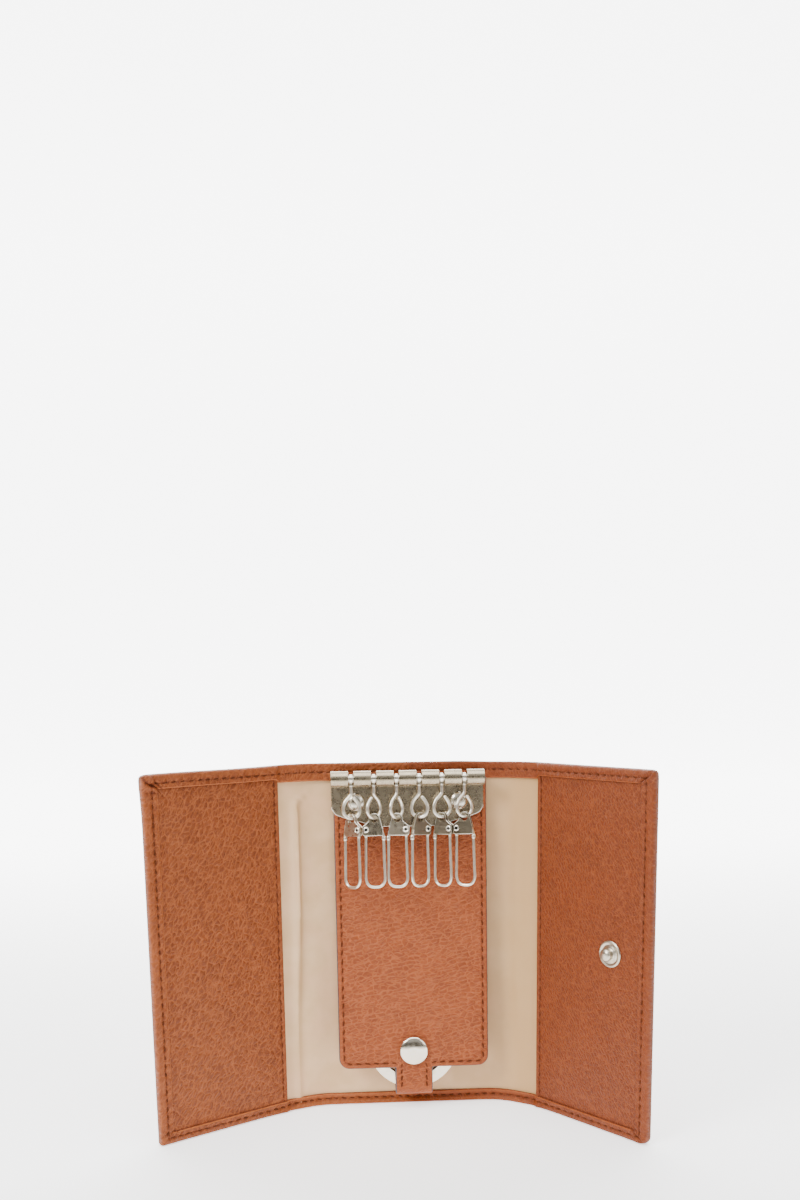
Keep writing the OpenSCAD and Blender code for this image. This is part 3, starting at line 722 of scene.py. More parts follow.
def hem_shape(d, run, seed):
    """How far the turned edge's face stands off its flat level."""
    dip = np.exp(-((d - SEAM) / 0.27) ** 2) * (0.20 + 0.07 * np.cos(2 * math.pi * run / STEP))
    puff = 0.07 * np.exp(-((d - 1.05) / 0.42) ** 2) + 0.08 * np.exp(-((d - 2.55) / 0.38) ** 2)
    pucker = 0.055 * np.cos(2 * math.pi * run / STEP + math.pi) * np.exp(-((d - SEAM) / 0.8) ** 2)
    wrinkle = 0.11 * noise(run / 0.62, d / 2.2 + run / 9, seed) * (0.45 + 0.55 * np.exp(-((d - 2.1) / 0.9) ** 2)) + 0.06 * noise(run / 1.9 + d / 3, d / 2.5, seed + 1)
    return puff - dip + pucker * 0.8 + wrinkle * smooth((d - 0.25) / 0.6)


def skin_bag(side, part):
    k = SIDES[side]
    bag = Bag()
    seed = 13

    def build(part_name):
        s, z, run, c, top = ring(side, part_name, P_D)
        d = P_D[None] + 0 * s
        r2 = run[:, None] + 0 * s
        lv, gr = level(side, s), ground(side, s)
        shape = hem_shape(d, r2, seed)
        v = np.zeros_like(s)
        kind = P_KIND[None, :].repeat(len(s), 0)
        x = P_X[None] + 0 * s
        top_v = lv + hem_shape(np.full_like(s, HEM - 0.35), r2, seed) + 0.05
        v = np.where(kind == "floor", 0.0, v)
        v = np.where(kind == "lip", gr + x * (top_v - gr), v)
        lip = 0.13 * np.exp(-((d - HEM + 0.22) / 0.22) ** 2)
        v = np.where(kind == "hem", lv + shape + lip, v)
        rim = lv + hem_shape(np.full_like(s, ROLL), r2, seed)
        mid, half = (rim - SKIN) / 2, (rim + SKIN) / 2
        v = np.where(kind == "roll", mid + half * np.sign(x) * np.abs(x) ** 0.92, v)
        seam = np.exp(-((d - SEAM) / 0.27) ** 2) * (0.13 + 0.05 * np.cos(2 * math.pi * run[:, None] / STEP))
        soft = 0.05 * np.exp(-((d - 1.1) / 0.5) ** 2) + 0.05 * np.exp(-((d - 2.7) / 0.7) ** 2)
        v = np.where(kind == "back", -SKIN - soft + seam + 0.02 * noise(r2 / 1.3, d / 2, seed + 7) * (d < 3.9), v)
        # corners: a lifted tip and pleats across the mitre
        crease = np.zeros_like(s)
        for ci in (0, 1):
            hit = (top == ci)[:, None] & (kind != "floor") & (kind != "back")
            if not hit.any():
                continue
            info = CORNERS[side, ci]
            near = np.exp(-(np.hypot(k["end"] - s, (H - z) if ci else z) / 2.9) ** 2)
            extra = info["lift"] * near
            for at, deep, wide in info["pleats"]:
                curve = at + 0.10 * np.sin(d * 1.4)
                extra = extra - deep * np.exp(-((c[:, None] - curve) / wide) ** 2) * smooth((d + 0.25) / 0.8) * smooth((HEM + 0.3 - d) / 0.7)
                extra = extra + 0.45 * deep * np.exp(-((c[:, None] - curve - 1.9 * wide) / wide) ** 2) * smooth((HEM - d) / 0.8)
                crease = np.where(hit, np.maximum(crease, deep / 0.36 * np.exp(-((c[:, None] - curve) / (0.8 * wide)) ** 2) * smooth((d + 0.3) / 0.5)), crease)
            weight = np.where(kind == "roll", (x + 1) / 2, 1.0)
            v = np.where(hit, v + extra * weight, v)
        # over the lining the top edge is turned in further
        deeper = 0.95 * smooth((d - 2.15) / 1.0) * (1 - smooth((s - k["hinge"] + 1.0) / 1.6)) * (z > H / 2)
        z = z - np.where(kind == "back", 0.0, deeper)
        # the turned edge is plump: it stands out past its own fold line
        out = smooth((1.75 - d) / 1.6)
        side_out = np.where(side < 0, 0.40 + 0.15 * z / H + 0.50 * np.exp(-((H - z) / 7) ** 2), 0.95 - EDGE_OUT[side] + 0.10 * z / H)
        near_end = smooth((s - k["end"] + 1.75) / 1.6)
        foot = smooth((1.9 - z) / 1.6) * smooth((k["mid"] + 14 - s) / 14)
        s = s + side_out * near_end + EDGE_OUT[side] * smooth((s - k["end"] + 4.4) / 0.9)
        v = np.where((kind == "back") | (kind == "floor"), v, v + 0.95 * foot * np.where(kind == "roll", (x + 1) / 2, 1.0))
        z = np.where(z > H / 2, z + (0.68 - (0.36 * smooth((s - 12) / 14) if side > 0 else 0.12 * smooth((s - 30) / 14))) * smooth((z - H + 1.75) / 1.6), z)
        # the top edge is not ruler straight
        z = np.where(z > H / 2, z + 0.10 * noise(side * s / 17, 0.3, 91) * smooth((4.3 - d) / 2), z)
        # the turned edge's mark: the roll, hem and lip are marked lighter, the lip's crown a painted highlight and its
        # underside painted shade
        wear_and_painted_light = np.select([kind == "roll", kind == "hem", kind == "lip"], [0.70, 0.30 + 0.35 * smooth((1.5 - d) / 0.6), 0.6], 0.0)
        # painted light: the bottom hem near the middle is brightened as if lit from below
        painted_hem_light = smooth((k["mid"] + 14 - s) / 14) * np.where(z < H / 2, 1.0, 0.55) * ((kind == "hem") | (kind == "roll"))
        wear_and_painted_light = wear_and_painted_light + (0.88 - wear_and_painted_light) * painted_hem_light
        # painted shade in the stitch channel
        wear_and_painted_light = np.where(kind == "hem", wear_and_painted_light - 0.85 * np.exp(-((d - SEAM) / 0.24) ** 2), wear_and_painted_light)
        wear_and_painted_light = np.where((kind == "lip") & (x < 0.6), -0.7, wear_and_painted_light)
        # a painted highlight on the lip's crown; along the right wing's outer side a painted shade line instead
        wear_and_painted_light = np.where(((kind == "hem") & (d > 2.9)) | ((kind == "lip") & (x > 0.7)), np.where((side > 0) & (k["end"] - s < np.minimum(z, H - z)), -0.25 - 0.6 * (kind == "lip"), 1.0), wear_and_painted_light)
        # painted shadow on the floor strip beside the hem and painted shade in the corner pleats' creases
        wear_and_painted_light = np.where(kind == "floor", -0.5, wear_and_painted_light) - 1.3 * crease
        flat = np.stack([side * s, z, np.where((kind == "back") | ((kind == "roll") & (x < 0)), -30.0, 0.0)], -1)
        ids = bag.points(case_point(side, s, z, v), flat, wear_and_painted_light)
        mat = np.where((kind == "back") | ((kind == "roll") & (x < -0.2)), 1, 0)
        bag.quads(ids, mat[:-1, :-1])
        return ids, s, z

    if part == "centre":
        t, s, z = build("top")
        b, s2, z2 = build("bottom")
        for col, v in ((0, 0.0), (-1, -SKIN)):
            rows = [t[:, col]]
            zt, zb = z[0, col], z2[0, col]
            for q in (0.04, 0.25, 0.5, 0.75, 0.96):
                zz = zt + (zb - zt) * q
                sv = s[:, col]
                rows.append(bag.points(case_point(side, sv, zz, v), np.stack([side * sv, zz + 0 * sv, (-30.0 if col else 0) + 0 * sv], -1)))
            rows.append(b[:, col])
            bag.quads(np.stack(rows, 1), 1 if col else 0)
            if col:
                backs = rows
            else:
                floors = rows
        for end in (0, -1):
            loop = list(t[end]) + [r[end] for r in backs[1:-1]] + list(b[end][::-1]) + [r[end] for r in floors[1:-1]][::-1]
            bag.face(loop)
    else:
        u, s, z = build("wing")
        caps = []
        for col, v in ((0, 0.0), (-1, -SKIN)):
            d_in = P_D[col]
            inner = d_in + 1.2
            near = np.arange(k["mid"], k["hinge"] + k["h2"] + 0.5, 0.9)
            far = np.linspace(near[-1] + 3, k["end"] - inner, 6)
            ss = np.concatenate([near, far])
            zz = np.linspace(H - inner, inner, 12)
            S, Z = np.meshgrid(ss, zz, indexing="ij")
            ids = bag.points(case_point(side, S, Z, v), np.stack([side * S, Z, (-30.0 if col else 0) + 0 * S], -1))
            bag.quads(ids, 1 if col else 0)
            border = u[:, col]
            bs, bz = s[:, col], z[:, col]
            top_n = int(np.argmax(bs >= k["end"] - d_in - 1e-3)) if (bs >= k["end"] - d_in - 1e-3).any() else 0
            width, height = k["end"] - d_in - k["mid"], H - 2 * d_in
            on_side = bs >= k["end"] - d_in - 1e-3
            first, last = np.where(on_side)[0][[0, -1]]
            tb = np.empty(len(border))
            tb[:first + 1] = (bs[:first + 1] - k["mid"]) / width
            tb[first:last + 1] = 1 + (bz[first] - bz[first:last + 1]) / (bz[first] - bz[last])
            tb[last:] = 2 + (bs[last] - bs[last:]) / width
            tb = np.maximum.accumulate(tb)
            inner_ids = list(ids[:, 0]) + list(ids[-1, 1:]) + list(ids[:-1, -1][::-1])
            ti = list((ss - ss[0]) / (ss[-1] - ss[0])) + list(1 + (zz[0] - zz[1:]) / (zz[0] - zz[-1])) + list(2 + (ss[-1] - ss[:-1][::-1]) / (ss[-1] - ss[0]))
            bag.zip(list(border), list(tb), inner_ids, ti, 1 if col else 0)
            caps.append(ids[0])
        bag.face(list(u[0]) + list(caps[1]) + list(u[-1][::-1]) + list(caps[0][::-1]))
    return bag


def cut(ob, part_centre, axis_dir, radius, length):
    """Cuts a round hole through a piece."""
    me = bpy.data.meshes.new("drill")
    bm = bmesh.new()
    bmesh.ops.create_cone(bm, cap_ends=True, segments=48, radius1=radius / 1000, radius2=radius / 1000, depth=length / 1000)
    bm.to_mesh(me)
    bm.free()
    drill = link(bpy.data.objects.new("drill", me))
    quat = Vector((0, 0, 1)).rotation_difference(Vector(axis_dir))
    drill.matrix_world = Matrix.Translation(Vector(part_centre)) @ quat.to_matrix().to_4x4()
    mod = ob.modifiers.new("hole", "BOOLEAN")
    mod.operation, mod.object, mod.solver = "DIFFERENCE", drill, "EXACT"
    bpy.context.view_layer.update()
    new = bpy.data.meshes.new_from_object(ob.evaluated_get(bpy.context.evaluated_depsgraph_get()))
    ob.modifiers.clear()
    old = ob.data
    ob.data = new
    bpy.data.meshes.remove(old)
    bpy.data.objects.remove(drill)
    new.set_sharp_from_angle(angle=math.radians(55))


def bend_piece(ob, side, which):
    k = SIDES[side]
    at, h = (k["fold"], k["h1"]) if which == "inner" else (k["hinge"], k["h2"])
    a, b = row(case_point(side, at - h, 49, AXIS)), row(case_point(side, at + h, 49, AXIS))
    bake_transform(ob)


SNAP_Z, STUD_U, SOCK_U = 49.3, 26.1, 26.46
sock_at = row(wing_at(-1, SOCK_U, 0.0, SNAP_Z))
sock_dir = unit(wing_at(-1, SOCK_U, -1.0, SNAP_Z) - wing_at(-1, SOCK_U, 0.0, SNAP_Z))

for side, k in SIDES.items():
    tag = k["tag"]
    mats = [M[f"skin_{tag}"], M["skin_back"]]
    body = make(f"shell_{tag}_half", skin_bag(side, "centre"), mats)
    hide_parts("shell_centre", f"fold_{tag}", f"shell_{tag}_spine")
    wing = make(f"shell_{tag}_flap", skin_bag(side, "wing"), mats)
    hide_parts(f"crease_{tag}", f"shell_{tag}_wing")
    if side < 0:
        cut(wing, sock_at, sock_dir, 2.55, 7)
    bend_piece(body, side, "inner")
    bend_piece(wing, side, "outer")


# ------------------------------------------------------------------ satin lining

def crease_line(z):
    """Where the satin's crease runs beside the left fold: it starts in a hook under the top hem."""
    return 4.75 + 1.3 * (H - z) / H + 0.30 * np.sin(z / 13) - 4.5 * smooth((z - 85.5) / 6.5) ** 2


def crease_tint(side, s, z):
    """Light on the crease's shoulder and shade along its flank."""
    if side > 0:
        return 0 * s
    u = s - SIDES[side]["fold"] - crease_line(z)
    run = smooth((H - 5 - z) / 6) * (0.25 + 0.75 * smooth((z - 22) / 40))
    return run * (0.55 * np.exp(-((u - 1.25) / 1.0) ** 2) - 0.95 * np.exp(-((u + 0.75) / 0.85) ** 2))


def lining_level(side, s, z):
    """Slack satin: long soft waves, a standing crease beside the left fold, pulled flat at its sewn edges."""
    k = SIDES[side]
    free = smooth((z - 3.0) / 7) * smooth((H - 3.0 - z) / 7)
    waves = 0.16 * noise(s / 7 + side * 3, z / 26, 71) + 0.06 * noise(s / 3.4, z / 9, 72)
    out = waves * free
    u = s - k["fold"]
    if side < 0:
        line = crease_line(z)
        run = smooth((H - 6 - z) / 8) * (0.30 + 0.70 * smooth((z - 18) / 45))
        out = out + run * (1.5 * np.exp(-((u - line) / np.where(u > line, 1.6, 0.75)) ** 2) - 0.20 * np.exp(-((u - line + 1.9) / 1.1) ** 2))
        out = out + 0.25 * run * np.exp(-((u + 4.5 + 0.02 * (H - z)) / 2.2) ** 2)
    else:
        line = 5.2 + 0.4 * np.sin(z / 17 + 1)
        run = smooth((H - 8 - z) / 12) * smooth((z - 6) / 30)
        out = out + run * (0.42 * np.exp(-((u - line) / 2.0) ** 2))
    out = out * smooth((k["hinge"] - 0.9 - s) / 1.6)
    return LINING + np.maximum(out, -0.12)


def lining_bag(side, part):
    k = SIDES[side]
    bag = Bag()
    if part == "centre":
        ss = np.linspace(0, k["mid"], 60)
    else:
        ss = np.concatenate([np.linspace(k["mid"], k["hinge"] + 1.5, 16), np.linspace(k["hinge"] + 3, k["end"] - 2.0, 9)])
    zz = np.linspace(1.6, H - 1.6, 70)
    S, Z = np.meshgrid(ss, zz, indexing="ij")
    top = bag.points(case_point(side, S, Z, lining_level(side, S, Z)), np.stack([side * S, Z, 0 * S], -1), crease_tint(side, S, Z))
    low = bag.points(case_point(side, S, Z, np.full_like(S, 0.03)), np.stack([side * S, Z, 0 * S], -1))
    bag.quads(top), bag.quads(low)
    for a, b in ((top[0], low[0]), (top[-1], low[-1]), (top[:, 0], low[:, 0]), (top[:, -1], low[:, -1])):
        bag.quads(np.stack([a, b], 1))
    return bag, (ss[-1] - ss[0], zz[-1] - zz[0])


for side, k in SIDES.items():
    tag = k["tag"]
    for part, nodes, which in (("centre", ("lining_centre", f"lining_{tag}_spine"), "inner"), ("wing", (f"lining_{tag}_wing",), "outer")):
        bag, size = lining_bag(side, part)
        ob = make(f"satin_{tag}_{part}", bag, [M["satin"]])
        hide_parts(*nodes)
        if side < 0 and part == "wing":
            cut(ob, sock_at, sock_dir, 2.55, 7)
        bend_piece(ob, side, which)


# ------------------------------------------------------------------ pockets

POCKET_U0 = -0.35
POCKET_SEAM = 1.35


def pocket_front(side, u, z):
    d = u - POCKET_U0
    roll = np.sqrt(np.clip(1 - (1 - np.clip(d / 0.55, 0, 1)) ** 2, 0, 1))
    lip = 0.16 * np.exp(-((d - 0.75) / 0.5) ** 2)
    dip = 0.22 * np.exp(-((d - POCKET_SEAM) / 0.25) ** 2) * (1 + 0.35 * np.cos(2 * math.pi * z / STEP))
    soft = 0.09 * noise(u / 11 + 5 * side, z / 15, 81) + 0.04 * noise(u / 4, z / 5, 82)
    hold = smooth((z - 2.6) / 6) * smooth((H - 2.6 - z) / 6) * smooth((SIDES[side]["wing"] - 3 - u) / 6)
    belly = 0.10 * hold * smooth(d / 5) * smooth((SIDES[side]["wing"] - 4 - u) / 10)
    face = POCKET + 0.02 + lip - dip + (soft + belly) * hold * smooth((d - 1.6) / 3)
    mid = (SLOT + 0.03 + POCKET) / 2
    return mid + (face - mid) * roll


def pocket_bag(side):
    k = SIDES[side]
    bag = Bag()
    d = np.concatenate([0.55 * (1 - np.cos(np.radians(np.linspace(0, 90, 7)))), [0.72, 0.9, 1.05, 1.17, 1.27, 1.35, 1.43, 1.53, 1.65, 1.85, 2.2, 2.7, 3.3]])
    uu = np.concatenate([POCKET_U0 + d, np.linspace(POCKET_U0 + 4.3, k["wing"] - 4.6, 20), k["wing"] - np.array([4.2, 3.9, 3.65, 3.45, 3.3, 3.15, 3.0, 2.85, 2.7, 2.55, 2.4, 1.75])])
    zz = np.array([1.75, 2.5, 2.95, 3.08, 3.18, 3.28, 3.38, 3.5, 3.65, 3.85, 4.1])
    zz = np.concatenate([zz, np.linspace(4.45, H - 4.45, 204), H - zz[::-1]])
    U, Z = np.meshgrid(uu, zz, indexing="ij")
    S = U + k["hinge"]
    flat = np.stack([side * S, Z, 60 + 0 * S], -1)
    # the pocket's rolled opening edge is marked lighter; its stitch channel takes painted shade
    wear_and_painted_light = 0.75 * smooth((1.25 - (U - POCKET_U0)) / 0.4) - 0.7 * np.exp(-((U - POCKET_U0 - POCKET_SEAM) / 0.2) ** 2)
    inset = np.minimum.reduce([Z, H - Z, k["wing"] + EDGE_OUT[side] - U])
    # painted shadow: a dark line on the pocket beside the turned edge
    wear_and_painted_light = wear_and_painted_light - 1.25 * np.exp(-((inset - HEM - 0.02) / (0.20 if side < 0 else 0.26)) ** 2)
    front = bag.points(case_point(side, S, Z, pocket_front(side, U, Z)), flat, wear_and_painted_light)
    dd = U - POCKET_U0
    roll = np.sqrt(np.clip(1 - (1 - np.clip(dd / 0.55, 0, 1)) ** 2, 0, 1))
    mid = (SLOT + 0.03 + POCKET) / 2
    back_v = mid + (SLOT + 0.03 - mid) * roll
    pick = np.concatenate([np.arange(0, 21), np.arange(22, len(uu), 4), [len(uu) - 1]])
    back = bag.points(case_point(side, S[pick], Z[pick], back_v[pick]), flat[pick], wear_and_painted_light[pick])
    bag.quads(front), bag.quads(back)
    bag.quads(np.stack([front[0], back[0]], 1))
    bag.quads(np.stack([front[-1], back[-1]], 1))
    for col in (0, -1):
        bag.zip(list(front[:, col]), list(uu), list(back[:, col]), list(uu[pick]))
    return bag


for side, k in SIDES.items():
    ob = make(f"pocket_{k['tag']}_panel", pocket_bag(side), [M[f"skin_{k['tag']}"]])
    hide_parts(f"pocket_{k['tag']}")
    bend_piece(ob, side, "outer")


# ------------------------------------------------------------------ stitches

def stitch_bag(bag, path, normal, slant=13.0, length=1.35, radius=0.25, step=STEP, phase=0.5, skip=None, sink=0.3):
    """Thread dashes along a path of points, seen from the side the normals point to."""
    path, normal = np.asarray(path, float), np.asarray(normal, float)
    seg = np.linalg.norm(np.diff(path, axis=0), axis=1)
    run = np.concatenate([[0], np.cumsum(seg)])
    n = int(run[-1] / step)
    if n < 1:
        return
    pitch = run[-1] / n
    rng = np.random.RandomState(int(abs(path[0]).sum() * 10) % 9973)
    for i in range(n):
        c = (i + phase) * pitch + rng.uniform(-0.05, 0.05)
        if c > run[-1]:
            continue
        at = np.array([np.interp(c, run, path[:, j]) for j in range(3)])
        if skip is not None and skip(at):
            continue
        a = np.array([np.interp(c - 0.5, run, path[:, j]) for j in range(3)])
        b = np.array([np.interp(c + 0.5, run, path[:, j]) for j in range(3)])
        nn = unit(np.array([np.interp(c, run, normal[:, j]) for j in range(3)]))
        t = unit(b - a)
        side_dir = np.cross(nn, t)
        ang = math.radians(slant + rng.uniform(-3, 3))
        t2 = t * math.cos(ang) + side_dir * math.sin(ang)
        half = length / 2 * rng.uniform(0.92, 1.05)
        pts = []
        for q in (-1.0, -0.82, -0.45, 0.0, 0.45, 0.82, 1.0):
            pts.append(at + t2 * half * q + nn * (0.06 - sink * abs(q) ** 3.2))
        v, f = tube(np.array(pts), radius * np.array([0.75, 0.95, 1.0, 1.0, 1.0, 0.95, 0.75]), sides=7, ends="flat")
        flat = v * [1, 0, 1] + [0, 3 * i, 0]
        ids = bag.points(v, flat=np.stack([(v - at) @ t2, (v - at) @ np.cross(nn, t2), np.full(len(v), 1.7 * i)], -1))
        for face in f:
            bag.face([ids[j] for j in face])


def case_line(side, s, z, v_of, back=False):
    """Points and normals of a line drawn on the case."""
    s, z = np.broadcast_arrays(np.asarray(s, float), np.asarray(z, float))
    v = v_of(s, z)
    p = case_point(side, s, z, v)
    q = case_point(side, s, z, v + (-0.1 if back else 0.1))
    return p, unit(q - p)


for side, k in SIDES.items():
    tag = k["tag"]
    for part, lo, hi, which in (("half", 0.0, k["mid"], "inner"), ("flap", k["mid"], k["end"] - SEAM + EDGE_OUT[side], "outer")):
        bag = Bag()
        n = int((hi - lo) / 0.5)
        s = np.linspace(lo, hi, n)
        for zc, sl in ((H - SEAM, 1), (SEAM, -1)):
            stitch_bag(bag, *case_line(side, s, zc, lambda a, b: level(side, a) - 0.20), slant=-13 * side * sl)
            stitch_bag(bag, *case_line(side, s, zc, lambda a, b: -SKIN + 0 * a + 0.10, back=True), slant=-13 * side * sl)
        if part == "flap":
            zz = np.linspace(H - SEAM, SEAM, 190)
            sc = k["end"] - SEAM + EDGE_OUT[side]
            stitch_bag(bag, *case_line(side, sc, zz, lambda a, b: level(side, a) - 0.20), slant=-13 * side)
            stitch_bag(bag, *case_line(side, sc, zz, lambda a, b: -SKIN + 0 * a + 0.10, back=True), slant=-13 * side)
            zz = np.linspace(H - HEM - 0.3, HEM + 0.3, 180)
            sp = k["hinge"] + POCKET_U0 + POCKET_SEAM
            stitch_bag(bag, *case_line(side, sp, zz, lambda a, b: pocket_front(side, a - k["hinge"], b) + 0.02), slant=-10 * side, length=1.35, radius=0.2, step=2.5)
        ob = make(f"stitches_{tag}_{part}", bag, [M["thread"]], sharp=0)
        bend_piece(ob, side, which)


# ------------------------------------------------------------------ the hanging pad and its strap

PAD_W, PAD_L, LAYER, STRAP_W, STRAP_T = 42.4, 81.9, 1.1, 10.6, 1.35
FOLD_Z, FOLD_Y, FOLD_RI, CAP_Z = -87.6, 0.75, 1.25, -76.85
PAD_SEAM = 1.5
PAD_R = 3.0


def near_lines(edges, reach, fine, lo, hi, coarse):
    """Grid lines from lo to hi, close together near the given edges."""
    out = {lo, hi}
    for e in edges:
        for sgn in (-1, 1):
            for d in fine:
                q = e + sgn * d
                if lo <= q <= hi:
                    out.add(round(q, 5))
    out = sorted(out)
    full = []
    for a, b in zip(out, out[1:]):
        n = max(1, int(math.ceil((b - a) / coarse)))
        full += list(np.linspace(a, b, n + 1)[:-1])
    full.append(out[-1])
    return np.array(full)


def pad_edge(x, z):
    """Distance inwards from the pad's outline, with its tab. Negative outside."""
    hx, hz = PAD_W / 2 - np.abs(x), z + PAD_L
    body = np.minimum(np.minimum(hx, hz), -z + 0.0)
    cx, cz = PAD_R - hx, PAD_R - hz
    body = np.where((cx > 0) & (cz > 0), np.minimum(PAD_R - np.hypot(cx, cz), body), body)
    tab = STRAP_W / 2 - np.abs(x)
    near = np.where((np.abs(x) < STRAP_W / 2) & (hz < 6), np.minimum(hx, np.hypot(np.maximum(tab, 0), np.maximum(hz, 0))), body)
    return np.where(hz >= 0, np.where(np.abs(x) < STRAP_W / 2, np.maximum(near, np.minimum(body, 9)), body), tab)


FINE = (0.0, 0.06, 0.14, 0.26, 0.42, 0.7, 1.0, 1.2, 1.34, 1.44, 1.56, 1.66, 1.8, 2.0, 2.4)


def warp_corner(x, z):
    """Pulls the square grid at the two lower corners into nested round corners."""
    hx, hz = PAD_W / 2 - np.abs(x), z + PAD_L
    K = 4.5
    inside = (hx < K) & (hz < K)
    qx, qz = K - hx, K - hz
    rho = np.maximum(qx, qz)
    d = K - rho
    rc = np.maximum(PAD_R - d, 1e-4)
    lim = rho - rc
    small = np.minimum(qx, qz)
    m = np.clip((small - lim) / rc, 0, 1)
    hit = inside & (small > lim)
    nb, ns = lim + rc * np.cos(m * math.pi / 4), lim + rc * np.sin(m * math.pi / 4)
    nx = np.where(hit, np.where(qx >= qz, nb, ns), qx)
    nz = np.where(hit, np.where(qx >= qz, ns, nb), qz)
    return np.where(inside, np.sign(x) * (PAD_W / 2 - (K - nx)), x), np.where(inside, (K - nz) - PAD_L, z), np.where(inside, d, np.minimum(hx, hz))


